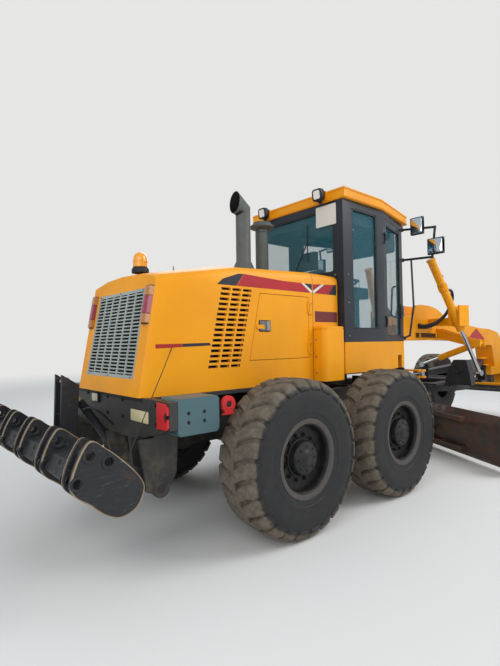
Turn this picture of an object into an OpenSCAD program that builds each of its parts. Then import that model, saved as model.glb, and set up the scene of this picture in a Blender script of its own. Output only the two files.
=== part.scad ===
// Motor grader with a hexagonal cab, an articulated frame, a six-way blade and a rear ripper.
// Millimetres. +X is forwards, +Y is left, +Z is up, and the ground is at Z = 0.
// Places are given from the middle of the tandem axles, and place() then centres the machine.

/* [Wheels] */
// Diameter of a tyre over its lugs
tyre_d = 1348; // [1300:1:1360]
// Width of a tyre
tyre_w = 445; // [400:1:450]
// Distance between the tyres' outer faces
machine_w = 2625; // [2600:1:2700]
// Diameter of the rim under the tyre's bead
rim_d = 635; // [600:1:660]
// Distance from the front axle to the middle of the tandem
wheelbase = 6219; // [6150:1:6350]
// Distance between the two tandem wheels of a side
tandem_pitch = 1538; // [1500:1:1600]
// Radius of the spindle in a wheel's hub
spindle_r = 62; // [50:1:70]

/* [Hood] */
// Half width of the hood
hood_half = 660; // [640:1:680]
// Height of the hood's lower edge
hood_low = 1240; // [1230:1:1250]
// Thickness of the hood's panels
hood_wall = 25; // [15:1:30]
// Where the hood's rear face meets its lower edge
hood_back = -1985; // [-2000:1:-1975]
// How far the hood's rear face leans forwards up to its top
hood_lean = 165; // [120:1:180]

/* [Cab] */
// Rear face of the cab
cab_back = 490; // [480:1:520]
// Front face of the cab
cab_front = 2110; // [2080:1:2130]
// Half width of the cab's straight rear part
cab_half = 740; // [720:1:760]
// Half width of the cab's front face
cab_nose = 530; // [500:1:560]
// Where the sides of the cab turn in towards the front
cab_kink = 1310; // [1280:1:1330]
// Height of the cab's lower edge
cab_low = 1295; // [1280:1:1320]
// Height of the cab's floor, where the yellow base ends
cab_floor = 1650; // [1640:1:1660]
// Height of the roof's underside
cab_top = 3285; // [3250:1:3300]
// Thickness of the roof
roof_h = 125; // [100:1:140]
// Thickness of the cab's walls and posts
cab_wall = 50; // [40:1:60]
// Thickness of the window glass
glass_t = 8; // [6:1:12]

/* [Frames] */
// Place of the articulation's upright pin
pivot_x = 2420; // [2400:1:2450]
// Radius of the articulation's pin
pivot_r = 60; // [50:1:65]
// Half width of the front frame's box beam
neck_half = 170; // [160:1:180]
// From the front axle to the push plate's front face
nose_reach = 791; // [770:1:820]
// Rear face of the rear bumper
bumper_x = -1960; // [-1970:1:-1950]
// Half width of the rear bumper
bumper_half = 1050; // [1000:1:1080]

/* [Steering] */
// From the middle of a front wheel in to its kingpin
kingpin_in = 290; // [285:1:300]
// Radius of a kingpin
kingpin_r = 36; // [30:1:40]
// Length of a steering arm behind its kingpin
steer_arm = 280; // [270:1:290]

/* [Blade] */
// Length of the blade
blade_l = 4270; // [4200:1:4280]
// Height of the blade
blade_h = 610; // [580:1:620]
// Thickness of the blade's curved plate
blade_t = 22; // [18:1:25]
// Height of the cutting edge over the ground
blade_lift = 60; // [50:1:90]
// How far the blade stands turned from straight across
blade_angle = 30; // [28:1:32]
// Outer radius of the circle
circle_r = 765; // [755:1:775]
// Place of the circle's centre
circle_x = 3500; // [3495:1:3505]
// Height of the circle's underside
circle_z = 880; // [875:1:885]
// Thickness of the circle
circle_t = 80; // [70:1:90]

/* [Cylinders] */
// Outer radius of a lift cylinder's barrel
lift_r = 60; // [55:1:65]
// Radius of a lift cylinder's rod
lift_rod_r = 30; // [25:1:32]
// Outer radius of an articulation cylinder's barrel
artic_r = 52; // [45:1:55]
// Outer radius of the shift cylinder's barrel
shift_r = 52; // [45:1:55]

/* [Ripper] */
// Half length of the ripper's beam
ripper_half = 1200; // [1190:1:1210]
// Rear end of the ripper's shank holders
ripper_x = -2700; // [-2710:1:-2690]
// Height of the ripper's hinge
ripper_z = 560; // [550:1:570]

/* [Hidden] */
$fn = 48;

fit = 0.3;       // gap between pieces that seat in each other
run = 5;         // gap between pieces that move past each other
e = 1;           // overlap of solids that are one piece

yellow = [0.93, 0.62, 0.04];
dark = [0.19, 0.2, 0.23];
charcoal = [0.25, 0.25, 0.24];
steel = [0.62, 0.64, 0.66];
rubber = [0.16, 0.15, 0.14];

tyre_r = tyre_d / 2;
wheel_y = machine_w / 2 - tyre_w / 2;
tyre_in = machine_w / 2 - tyre_w;
nose_x = wheelbase + nose_reach;
kingpin_y = wheel_y - kingpin_in;
mid_x = (nose_x + ripper_x) / 2;
circle_top = circle_z + circle_t;

// Moves the machine from the tandem's middle to its own middle.
module place() translate([-mid_x, 0, 0]) children();

// A piece and its mirror image on the other side.
module both() { children(); mirror([0, 1, 0]) children(); }

// A piece of side 1 (left) or side -1 (right), drawn for the left.
module on_side(side) { if (side > 0) children(); else mirror([0, 1, 0]) children(); }

// A box from its low corner to its high corner.
module block(a, b) translate(a) cube(b - a);

// A round bar from a to b.
module bar(a, b, r) {
    d = b - a;
    l = norm(d);
    translate(a) rotate([0, acos(d[2] / l), atan2(d[1], d[0])]) cylinder(h = l, r = r);
}

// A plate seen from the side: an outline in x and z, from y0 to y1.
module side_plate(y0, y1) translate([0, y1, 0]) rotate([90, 0, 0]) linear_extrude(y1 - y0) children();

// A plate seen from behind: an outline in y and z, from x0 to x1.
module cross_plate(x0, x1) translate([x0, 0, 0]) rotate([90, 0, 90]) linear_extrude(x1 - x0) children();

// A plate seen from above: an outline in x and y, from z0 to z1.
module flat_plate(z0, z1) translate([0, 0, z0]) linear_extrude(z1 - z0) children();

// An upright round pin or post.
module post(x, y, z0, z1, r) translate([x, y, z0]) cylinder(h = z1 - z0, r = r);

// A round bar along y.
module cross_bar(x, z, y0, y1, r) translate([x, y1, z]) rotate([90, 0, 0]) cylinder(h = y1 - y0, r = r);

// A round bar along x.
module long_bar(y, z, x0, x1, r) translate([x0, y, z]) rotate([0, 90, 0]) cylinder(h = x1 - x0, r = r);

// A point on the line from a to b, at a distance from a.
function along(a, b, d) = a + (b - a) * d / norm(b - a);

// WHEELS

lug_h = 36;                  // depth of the tread
lugs = 26;                   // lugs in each of a tyre's two rows
lug_half = 50;               // half length of a lug along the tread
lug_run = 80;                // how far a lug's shoulder end lies behind its inner end
lug_bend = 110;              // where a lug bends, from the tyre's middle
half_w = tyre_w / 2;
bead_r = rim_d / 2;
casing_r = tyre_r - lug_h;

// Half of the casing's section in radius and width.
casing_half = [
    [bead_r + fit, half_w - 60], [bead_r + 12, half_w - 34], [bead_r + 35, half_w - 26],
    [(bead_r + casing_r) / 2, half_w], [casing_r - 60, half_w - 6], [casing_r - 16, half_w - 34],
    [casing_r, half_w - 80]
];

// Section of a lug in width and radius, from the tyre's middle to its shoulder.
lug_section = [
    [-18, casing_r - 8], [half_w - 100, casing_r - 8], [half_w - 4, casing_r - 78], [half_w - 4,
        casing_r - 30],
    [half_w - 66, tyre_r], [-18, tyre_r]
];

// Outline of a lug from outside, over the tyre's width.
lug_plan = [
    [lug_half - 20, -20], [-lug_run / 3 + lug_half, lug_bend], [-lug_run + lug_half, half_w],
    [-lug_run - lug_half, half_w], [-lug_run / 3 - lug_half - 8, lug_bend], [-lug_half + 8, -20]
];

// One lug of the row on the +y side, at the tyre's top.
module lug() intersection() {
    rotate([90, 0, 90]) translate([0, 0, -2 * lug_run]) linear_extrude(4 * lug_run) polygon(lug_section);
    translate([0, 0, casing_r - 90]) linear_extrude(90 + 2 * lug_h) polygon(lug_plan);
}

// A whole tyre about the y axis.
module tyre_body() {
    rotate([90, 0, 0]) rotate_extrude() polygon(concat(
        casing_half, [for (i = [len(casing_half) - 1 : -1 : 0]) [casing_half[i][0], -casing_half[i][1]]]
    ));
    for (k = [0 : lugs - 1]) {
        rotate([0, 360 * k / lugs, 0]) lug();
        rotate([0, 360 * (k + 0.5) / lugs, 0]) mirror([0, 1, 0]) lug();
    }
}

// Rim about the y axis, its outer face towards +y, with the hub that runs on the spindle.
rim_t = 14;                  // thickness of the rim's barrel
rim_half = tyre_w / 2 - 62;  // half width between the rim's flanges
disc_y = 70;                 // where the rim's disc stands, outwards from its middle
hub_r = 150;                 // radius of the hub on the spindle
hub_in = tyre_w / 2 - 5;     // how far the hub reaches inwards
module rim_body() {
    rotate([-90, 0, 0]) rotate_extrude($fn = 96) polygon([
        [spindle_r + fit, -hub_in], [hub_r, -hub_in], [hub_r, disc_y],
        [bead_r - rim_t, disc_y], [bead_r - rim_t, -rim_half - 30], [bead_r, -rim_half - 30],
        [bead_r, rim_half + 30], [bead_r - rim_t, rim_half + 30],
        [bead_r - rim_t, disc_y + 22], [hub_r, disc_y + 22], [hub_r - 10, disc_y + 90],
        [spindle_r + 12, disc_y + 110], [spindle_r + fit, disc_y + 110]
    ]);
}

module tyre(x, side) color(rubber) place() translate([x, side * wheel_y, tyre_r]) tyre_body();
module rim(x, side) color(dark) place() translate([x, 0, tyre_r]) on_side(side)
    translate([0, wheel_y, 0]) rim_body();

// REAR FRAME

rail_y = [330, 430];
rail_z = [850, 1090];
ear_r = 150;                 // radius of the articulation's ears
ear_t = 40;                  // thickness of an ear
tongue_t = 90;               // thickness of the front frame's tongues
joint_z = [800, 1130];       // heights of the two tongues' middles
ripper_pin = [-1880, ripper_z];
lug_y = [600, 760];          // inner faces of the ripper hinge's plates
lug_w = 30;                  // thickness of these plates
artic_z = 1160;              // height of the articulation cylinders
artic_rear = [1250, 560, artic_z];
artic_front = [pivot_x + 290, 470, artic_z];

// Two ears round one tongue of the articulation.
module ears(z) for (s = [-1, 1]) {
    zm = z + s * (tongue_t / 2 + run + ear_t / 2);
    flat_plate(zm - ear_t / 2, zm + ear_t / 2) {
        translate([pivot_x, 0]) circle(r = ear_r);
        translate([pivot_x - 260, -ear_r]) square([260, 2 * ear_r]);
    }
}

module rear_frame() color(charcoal) place() {
    both() block([bumper_x + 60, rail_y[0], rail_z[0]], [2160, rail_y[1], rail_z[1]]);
    for (x = [-1500, -700, 500, 1400])
        block([x, -rail_y[0] - e, rail_z[0] + 40], [x + 90, rail_y[0] + e, rail_z[1] - 30]);
    // front cross member that carries the articulation's ears
    block([2080, -rail_y[1] - 40, 700], [2180, rail_y[1] + 40, rail_z[1]]);
    block([2080, -ear_r, rail_z[1] - e], [2180, ear_r, 1225]);
    for (z = joint_z) ears(z);
    post(pivot_x, 0, joint_z[0] - tongue_t / 2 - run - ear_t, joint_z[1] + tongue_t / 2 + run + ear_t,
        pivot_r);
    // brackets of the articulation cylinders
    both() {
        for (z = [artic_z - 60, artic_z + 35]) flat_plate(z, z + 25) {
            translate([artic_rear[0], artic_rear[1]]) circle(r = 50);
            translate([artic_rear[0] - 110, artic_rear[1] - 50]) square([110, 100]);
        }
        block([artic_rear[0] - 110, rail_y[0] + 20, rail_z[1] - e],
            [artic_rear[0] - 70, artic_rear[1] + 50, artic_z + 60]);
    }
    // mounts of the cab and deck along the hood's lower edge
    both() for (x = [620, 1900]) post(x, rail_y[0] + 20, rail_z[1] - e, cab_low - fit, 45);
    both() {
        block([bumper_x + 69, rail_y[0], 1205], [cab_back - 15, hood_half + 20, hood_low - fit]);
        for (x = [-1500, -700, 300]) block([x, rail_y[0] + 10, rail_z[1] - e], [x + 90, rail_y[1] - 10,
            1206]);
    }
    // bumper and the frame's tail
    cross_plate(bumper_x, bumper_x + 70) polygon([
        [-bumper_half, hood_low - fit], [-bumper_half, 1040], [-560, 910], [560, 910],
        [bumper_half, 1040], [bumper_half, hood_low - fit]
    ]);
    block([bumper_x + 70 - e, -560, 910], [-1520, 560, 1206]);
    // brackets of the ripper's hinge, one at each side
    both() for (y = lug_y) side_plate(y, y + lug_w) difference() {
        union() {
            polygon([
                [bumper_x + 20, 1060], [bumper_x + 20, 950], [bumper_x - 100, 950], [bumper_x - 77, 760],
                [ripper_pin[0] - 119, ripper_pin[1]], [ripper_pin[0] + 50, ripper_pin[1] - 45],
                [ripper_pin[0] + 132, 658], [ripper_pin[0] + 149, 966], [-1640, 1060]
            ]);
            translate(ripper_pin) circle(r = 70);
        }
        translate(ripper_pin) circle(r = 32 + fit);
    }
    both() block([bumper_x + 60, 555, 1000], [-1640, lug_y[1] + lug_w, 1060]);
    // bracket of the ripper's cylinder
    both() side_plate(45, 70) {
        polygon([[bumper_x + 40, 915], [-1820, 700], [-1960, 700], [bumper_x - 45, 915]]);
        translate([-1890, 730]) circle(r = 60);
    }
}

// POWERTRAIN

module engine() color(charcoal) place() block([-1300, -rail_y[0] + 10, rail_z[1] - 30 + fit],
    [-250, rail_y[0] - 10, 2050]);

tandem_out = tyre_in - 20;   // outer face of a tandem case
tandem_in = tandem_out - 207;
module tandems() color(charcoal) place() {
    both() {
        side_plate(tandem_in, tandem_out) {
            for (s = [-1, 1]) translate([s * tandem_pitch / 2, tyre_r]) circle(r = 235);
            translate([-tandem_pitch / 2, tyre_r - 200]) square([tandem_pitch, 400]);
            translate([0, tyre_r]) circle(r = 290);
        }
        for (s = [-1, 1]) cross_bar(s * tandem_pitch / 2, tyre_r, tandem_out - e, wheel_y + 150, spindle_r);
    }
    cross_bar(0, tyre_r, -tandem_in - e, tandem_in + e, 150);
    translate([0, 0, tyre_r]) rotate([90, 0, 0]) cylinder(h = 360, r = 215, center = true);
    // seats of the two frame rails on the axle
    both() block([-180, rail_y[0] - 10, tyre_r + 100], [180, rail_y[1] + 10, rail_z[0] - fit]);
}

// HOOD

// Stations of the hood from back to front: place, height of the shoulder, rise of the crown.
hood_stations = [[hood_back + hood_lean, 2235, 50], [-960, 2370, 60], [40, 2412, 60], [cab_back - 20,
    2405, 60]];

// Cross-section of the hood at a place: shoulders rounded, top crowned.
function hood_ring(x, low, shoulder, crown, half, r, xlow) = concat(
    [[xlow, -half, low]],
    [for (a = [0 : 30 : 90]) [x, -half + r - r * cos(a), shoulder - r + r * sin(a)]],
    [for (k = [-0.5, 0, 0.5]) [x, k * half, shoulder + crown * (1 - k * k)]],
    [for (a = [90 : -30 : 0]) [x, half - r + r * cos(a), shoulder - r + r * sin(a)]],
    [[xlow, half, low]]
);

// Closed solid through rings of equally many points.
module loft(rings) {
    n = len(rings[0]);
    m = len(rings);
    pts = [for (r = rings) for (p = r) p];
    sides = [for (i = [0 : m - 2]) for (j = [0 : n - 1]) each [
        [i * n + j, i * n + (j + 1) % n, (i + 1) * n + (j + 1) % n],
        [i * n + j, (i + 1) * n + (j + 1) % n, (i + 1) * n + j]
    ]];
    // each end is a flat face between its two lowest pairs of points and another above them
    foot = [0, 1, n - 2, n - 1];
    ends = [
        [for (j = [3 : -1 : 0]) foot[j]], [for (j = [n - 2 : -1 : 1]) j],
        [for (j = foot) (m - 1) * n + j], [for (j = [1 : n - 2]) (m - 1) * n + j]
    ];
    polyhedron(pts, concat(sides, ends), convexity = 6);
}

hood_edge = 60;              // radius of the rear face's upper edge
hood_drop = 14;              // how far that edge lies below the first shoulder
face_h = hood_stations[0][1] - hood_drop - hood_edge - hood_low;

// The hood's outer form, drawn in by d on every side but the lower one.
module hood_form(d) {
    s = hood_stations;
    first = s[0];
    last = s[len(s) - 1];
    past = d > 0 ? e : 0;
    low = hood_low - past;
    loft(concat(
        [hood_ring(first[0] + d, low, first[1] - d - hood_drop, first[2], hood_half - d - 40,
            hood_edge, hood_back + d)],
        [hood_ring(first[0] + 60 + d / 4, low, first[1] - d, first[2], hood_half - d, 80,
            hood_back + 60 + d)],
        [for (i = [1 : len(s) - 2]) hood_ring(s[i][0], low, s[i][1] - d, s[i][2], hood_half - d, 80,
            s[i][0])],
        [hood_ring(last[0] + past, low, last[1] - d, last[2], hood_half - d, 80, last[0] + past)]
    ));
}

grille_low = 1382;
grille_high = 2142;
grille_half = 489;           // at its lower edge
grille_top_half = 460;       // at its upper edge
grille_t = 30;

// Outline of the grille's opening, drawn in by d.
module grille_outline(d) polygon([
    [-grille_half + d, grille_low + d], [grille_half - d, grille_low + d],
    [grille_top_half - d, grille_high - d], [-grille_top_half + d, grille_high - d]
]);

// Puts an upright drawing of the rear face on the slanted face, sunk by d.
module on_face(d, t) {
    lean = atan2(hood_lean, face_h);
    translate([hood_back, 0, hood_low]) rotate([0, lean, 0]) translate([d, 0, -hood_low])
        cross_plate(0, t) children();
}

// Height of the hood's crown at a place along it.
function hood_top(x) = lookup(x, [
    for (i = [0 : len(hood_stations) - 1])
        [hood_stations[i][0] + (i == 0 ? 60 : 0), hood_stations[i][1] + hood_stations[i][2]]
]);

door_low = 1490;
door_high = 2135;
// Outline of an engine door, drawn in by d.
door_pts = [[-865, door_low], [-725, door_high], [-25, door_high], [-25, door_low]];
function inset(p, d) = [p[0] + (p[0] < -400 ? d : -d), p[1] + (p[1] < 1800 ? d : -d)];
module door_outline(d) polygon([for (p = door_pts) inset(p, d)]);

louver_rows = 16;
louver_cols = 3;
louver_top = [-1172, 2139];
louver_lean = 154;           // how far the lowest row stands behind the top one
louver_step = [120, 46.3];
module louvers() for (i = [0 : louver_rows - 1]) for (j = [0 : louver_cols - 1])
    translate([louver_top[0] - louver_lean * i / (louver_rows - 1) + j * louver_step[0],
        louver_top[1] - i * louver_step[1]]) square([88, 18]);

module hood() color(yellow) place() {
    difference() {
        hood_form(0);
        hood_form(hood_wall);
        both() {
            side_plate(hood_half - 60, hood_half + 10) door_outline(0);
            side_plate(hood_half - 60, hood_half + 10) louvers();
        }
        on_face(-40, 120) grille_outline(0);
    }
    both() hood_pads();
}

// Hinges of the engine doors, each with a knuckle on the door between two pads on the hood.
hinge_z = [1600, 2020];
hinge_x = -37;
knuckle_half = 45;           // half height of a knuckle
pad_h = 22;                  // height of a pad
module hood_pads() for (z = hinge_z) for (s = [-1, 1]) {
    zm = z + s * (knuckle_half + fit + pad_h / 2);
    block([hinge_x, hood_half + fit, zm - pad_h / 2], [20, hood_half + 13, zm + pad_h / 2]);
    block([-24, hood_half - e, zm - pad_h / 2], [20, hood_half + e, zm + pad_h / 2]);
}

module engine_door(side) color(yellow) place() on_side(side) {
    side_plate(hood_half - hood_wall, hood_half) door_outline(run);
    // hinge knuckles at the front edge and the latch
    for (z = hinge_z) post(hinge_x, hood_half + 7, z - knuckle_half, z + knuckle_half, 10);
    block([-775, hood_half - e, 1790], [-675, hood_half + 10, 1830]);
}

grille_rows = 24;
grille_cols = 6;
module grille() color([0.56, 0.6, 0.58]) place() on_face(2, grille_t) difference() {
    grille_outline(fit);
    for (i = [0 : grille_rows - 1]) {
        z = grille_low + 40 + i * (grille_high - grille_low - 80) / (grille_rows - 1);
        w = (grille_half * 2 - 60) / grille_cols;
        for (j = [0 : grille_cols - 1])
            translate([(j - (grille_cols - 1) / 2) * w * 0.97 - w * 0.39, z - 7]) square([w * 0.78, 14]);
    }
}

beacon = [-1680, -90];       // place of the beacon on the hood
beacon_r = 78;
crown_fall = 3.4;            // how far the hood lies lower under the beacon than along its middle
module rear_lamps() color([0.75, 0.3, 0.15]) place() {
    both() on_face(-22, 22 - fit) translate([535, 1837]) square([52, 306]);
    // work lamps under the roof's rear edge
    both() block([cab_back - 95, 469 - 55, cab_top + 30], [cab_back - 40 - fit, 469 + 55, cab_top + 120]);
    // beacon on the hood
    translate([beacon[0], beacon[1], hood_top(beacon[0] + beacon_r) - crown_fall + fit]) {
        cylinder(h = 55, r = beacon_r);
        translate([0, 0, 55 - e]) rotate_extrude() polygon([
            [0, 0], [66, 0], [66, 60], [58, 105], [36, 130], [0, 137]
        ]);
    }
}

// Exhaust stack with a bent open end, and the air cleaner's pipe with its cap, both behind the cab.
stack_x = -360;
stack_r = 100;
stack_base_r = 140;
stack_bend = 3125;           // height of the stack's bend
stack_tilt = 50;             // angle of its end from upright
cleaner_x = -70;
cleaner_r = 87;
module stacks() color([0.36, 0.38, 0.38]) place() {
    foot = hood_top(stack_x + stack_base_r) + fit;
    difference() {
        union() {
            translate([stack_x, 0, foot]) cylinder(h = 25, r = stack_base_r);
            translate([stack_x, 0, foot + 24]) cylinder(h = 60, r1 = stack_base_r - 10, r2 = stack_r - e);
            post(stack_x, 0, foot, stack_bend + 60, stack_r);
            translate([stack_x, 0, stack_bend]) rotate([0, -stack_tilt, 0]) cylinder(h = 185,
                r = stack_r - 4);
        }
        translate([stack_x, 0, stack_bend]) rotate([0, -stack_tilt, 0]) translate([0, 0, 20])
            cylinder(h = 200, r = stack_r - 14);
    }
    translate([cleaner_x, 0, hood_top(cleaner_x + cleaner_r) + fit]) cylinder(h = 500, r = cleaner_r);
    translate([cleaner_x, 0, 2950]) rotate_extrude() polygon([
        [0, 0], [150, 0], [180, 25], [180, 55], [150, 85], [70, 112], [0, 120]
    ]);
}

module side_cabinets() color(yellow) place() both()
    block([45, hood_half + fit, hood_low], [400, 820, 1820]);

module tool_boxes() color([0.36, 0.46, 0.48]) place() both()
    block([bumper_x + 70 + fit, lug_y[1] + lug_w + run, 985], [-1520, bumper_half, 1260]);

// CAB

// Outline of the cab from above, drawn in by d.
module cab_outline(d) polygon([
    [cab_back + d, -cab_half + d], [cab_kink - d * 0.13, -cab_half + d],
    [cab_front - d, -cab_nose + d * 0.85],
    [cab_front - d, cab_nose - d * 0.85], [cab_kink - d * 0.13, cab_half - d], [cab_back + d, cab_half - d]
]);

side_low = 1800;             // lower edge of the rear side window
window_top = cab_top - 85;
rear_low = cab_floor + 800;  // lower edge of the rear window
door_turn = atan2(cab_half - cab_nose, cab_front - cab_kink);
door_len = norm([cab_half - cab_nose, cab_front - cab_kink]);

module cab_base() color(yellow) place() {
    difference() {
        flat_plate(cab_low, cab_floor - fit) cab_outline(0);
        flat_plate(cab_low + 40, cab_floor - 40) cab_outline(cab_wall);
        both() block([1820, 400, cab_low - e], [1990, 800, cab_low + 170]);
    }
}

// Stands a drawing of the cab's slanted side at its place: x along the side from the kink, y outwards.
module on_slant(side) on_side(side) translate([cab_kink, cab_half, 0]) rotate([0, 0, -door_turn]) children();

// Hinges of the cab's doors, each with a knuckle on the door between two pads on the frame.
door_hinge_z = [cab_floor + 250, window_top - 250];
door_hinge = [60, 11];       // place of the hinges' axis on the slanted side
module frame_pads(side) on_slant(side) for (z = door_hinge_z) for (s = [-1, 1]) {
    zm = z + s * (knuckle_half + fit + pad_h / 2);
    block([15, fit, zm - pad_h / 2], [door_hinge[0], 22, zm + pad_h / 2]);
    block([15, -e, zm - pad_h / 2], [38, 2 * e, zm + pad_h / 2]);
}

module cab_frame() color(dark) place() {
    cab_shell();
    for (s = [-1, 1]) frame_pads(s);
}

module cab_shell() difference() {
    flat_plate(cab_floor, cab_top) cab_outline(0);
    flat_plate(cab_floor - e, cab_top + e) cab_outline(cab_wall);
    // rear side windows
    both() block([660, cab_half - 70, side_low], [1160, cab_half + 5, window_top]);
    // doors
    for (s = [-1, 1]) on_slant(s) block([40, -75, cab_floor - 3], [door_len - 70, 6, window_top]);
    // windscreen and rear window
    block([cab_front - 65, -cab_nose + 60, cab_floor + 30], [cab_front + 5, cab_nose - 60, window_top]);
    block([cab_back - 5, -cab_half + 130, rear_low], [cab_back + 65, cab_half - 130, window_top]);
}

module cab_roof() color(yellow) place() {
    flat_plate(cab_top + fit, cab_top + roof_h) polygon([
        [cab_back - 10, -cab_half - 32], [1240, -cab_half - 32], [cab_front + 90, -cab_nose - 30],
        [cab_front + 90, cab_nose + 30], [1240, cab_half + 32], [cab_back - 10, cab_half + 32]
    ]);
    both() block([cab_back - 40, 400, cab_top + 20], [cab_back - 10 + e, 540, cab_top + 122]);
}

glass_in = 20;               // how far the glass stands behind the posts' outer faces
module cab_glass() color([0.6, 0.75, 0.85, 0.4]) place() {
    both() block([660 + fit, cab_half - glass_in - glass_t, side_low + fit],
        [1160 - fit, cab_half - glass_in, window_top - fit]);
    block([cab_front - glass_in - glass_t, -cab_nose + 60 + fit, cab_floor + 30 + fit],
        [cab_front - glass_in, cab_nose - 60 - fit, window_top - fit]);
    block([cab_back + glass_in, -cab_half + 130 + fit, rear_low + fit],
        [cab_back + glass_in + glass_t, cab_half - 130 - fit, window_top - fit]);
}

leaf_x = [40 + run, door_len - 70 - run];    // the door's edges along the slanted side
leaf_z = [cab_floor + run, window_top - run];
leaf_frame = 60;
module cab_door(side) color(dark) place() on_slant(side) {
    difference() {
        block([leaf_x[0], -cab_wall, leaf_z[0]], [leaf_x[1], 0, leaf_z[1]]);
        block([leaf_x[0] + leaf_frame, -cab_wall - e, leaf_z[0] + leaf_frame],
            [leaf_x[1] - leaf_frame, e, leaf_z[1] - leaf_frame]);
    }
    for (z = door_hinge_z) post(door_hinge[0], door_hinge[1], z - knuckle_half, z + knuckle_half, 12);
}
module door_glass(side) color([0.6, 0.75, 0.85, 0.4]) place() on_slant(side)
    block([leaf_x[0] + leaf_frame + fit, -glass_in - glass_t, leaf_z[0] + leaf_frame + fit],
        [leaf_x[1] - leaf_frame - fit, -glass_in, leaf_z[1] - leaf_frame - fit]);

module seat() color([0.15, 0.15, 0.17]) place() {
    block([760, -150, cab_floor], [1180, 150, cab_floor + 330]);
    block([720, -260, cab_floor + 330 - e], [1240, 260, cab_floor + 460]);
    block([660, -250, cab_floor + 450], [780, 250, cab_floor + 1150]);
}

module console() color([0.2, 0.2, 0.21]) place() {
    block([1560, -90, cab_floor], [1700, 90, cab_floor + 600]);
    block([1440, -230, cab_floor + 590], [1720, 230, cab_floor + 740]);
    translate([1480, 0, cab_floor + 800]) rotate([0, -25, 0]) rotate_extrude() translate([190,
        0]) circle(r = 16);
    bar([1560, 0, cab_floor + 735], [1490, 0, cab_floor + 800], 25);
    translate([1480, 0, cab_floor + 800]) rotate([0, -25, 0]) block([-12, -190, -8], [12, 190, 8]);
}

arm_top = cab_top - 60;      // heights of the mirror arm's two ends
arm_low = cab_top - 490;
arm_x = cab_front + 50;      // where the arm's tubes stand, in front of the cab
arm_out = cab_nose + 460;    // how far out the arm reaches
tube_r = 16;                 // radius of the arm's tubes
grab_r = 13;                 // radius of the handrail's tubes
// Points of the mirror arm and of the handrail below it, across and up.
arm_path = [[cab_nose - 28, arm_top], [arm_out, arm_top - 55], [arm_out - 45, arm_low - 20],
    [cab_nose - 28, arm_low]];
grab_path = [
    [cab_nose + 110, arm_low], [cab_nose + 132, cab_floor + 484], [cab_nose + 66, cab_floor + 80],
    [cab_nose - 28, cab_floor + 40]
];
// Tubes along a path, with a ball at each corner.
module tubes(path, r) {
    for (i = [0 : len(path) - 2]) bar([arm_x, path[i][0], path[i][1]], [arm_x, path[i + 1][0],
        path[i + 1][1]], r);
    for (i = [1 : len(path) - 2]) translate([arm_x, path[i][0], path[i][1]]) sphere(r = r + 4);
}
module rails() color(dark) place() both() {
    tubes(arm_path, tube_r);
    tubes(grab_path, grab_r);
    // pads on the cab's front post
    for (z = [arm_top, arm_low, cab_floor + 40])
        block([cab_front + fit, cab_nose - 50, z - 25], [arm_x + tube_r + 6, cab_nose - 8, z + 25]);
    // upper mirror on the arm's top tube, lower mirror on its outer tube
    block([arm_x - 22, cab_nose + 120, arm_top - 110], [arm_x + 22, cab_nose + 300, arm_top + 125]);
    block([arm_x - 22, cab_nose + 360, arm_low + 10], [arm_x + 22, cab_nose + 575, arm_low + 225]);
    // steps below the door
    for (x = [1560, 1860]) {
        block([x, 540, 1265], [x + 30, 660, cab_low - fit]);
        block([x, 630, 760], [x + 30, 660, 1290]);
    }
    for (z = [780, 1020]) block([1560, 660 - e, z], [1890, 850, z + 30]);
}

// FRONT FRAME

lift_top = [2900, 550, 2880];
lift_pin = [3840, 850, 1120];
trunnion = lift_top + (lift_pin - lift_top) * (2880 - 1950) / (2880 - 1120);
lift_dir = (lift_top - lift_pin) / norm(lift_top - lift_pin);
lift_turn = atan2(lift_dir[1], lift_dir[0]);     // heading of the lift cylinder's lean
ball = [wheelbase - 209, 0, 1200];
link_r = 30;                 // radius of the ball joint's pins
link_pin = [ball[0] - 130, 0, ball[2]];
shift_top = [3900, -820, 1600];
shift_pin = [3900, 146, 1230];
nose_back = wheelbase + 601; // rear face of the push plate's box
nose_low = 930;              // underside of the frame over the front axle
neck_back = pivot_x + 165;   // rear face of the box beam
axle_z = tyre_r;

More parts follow.
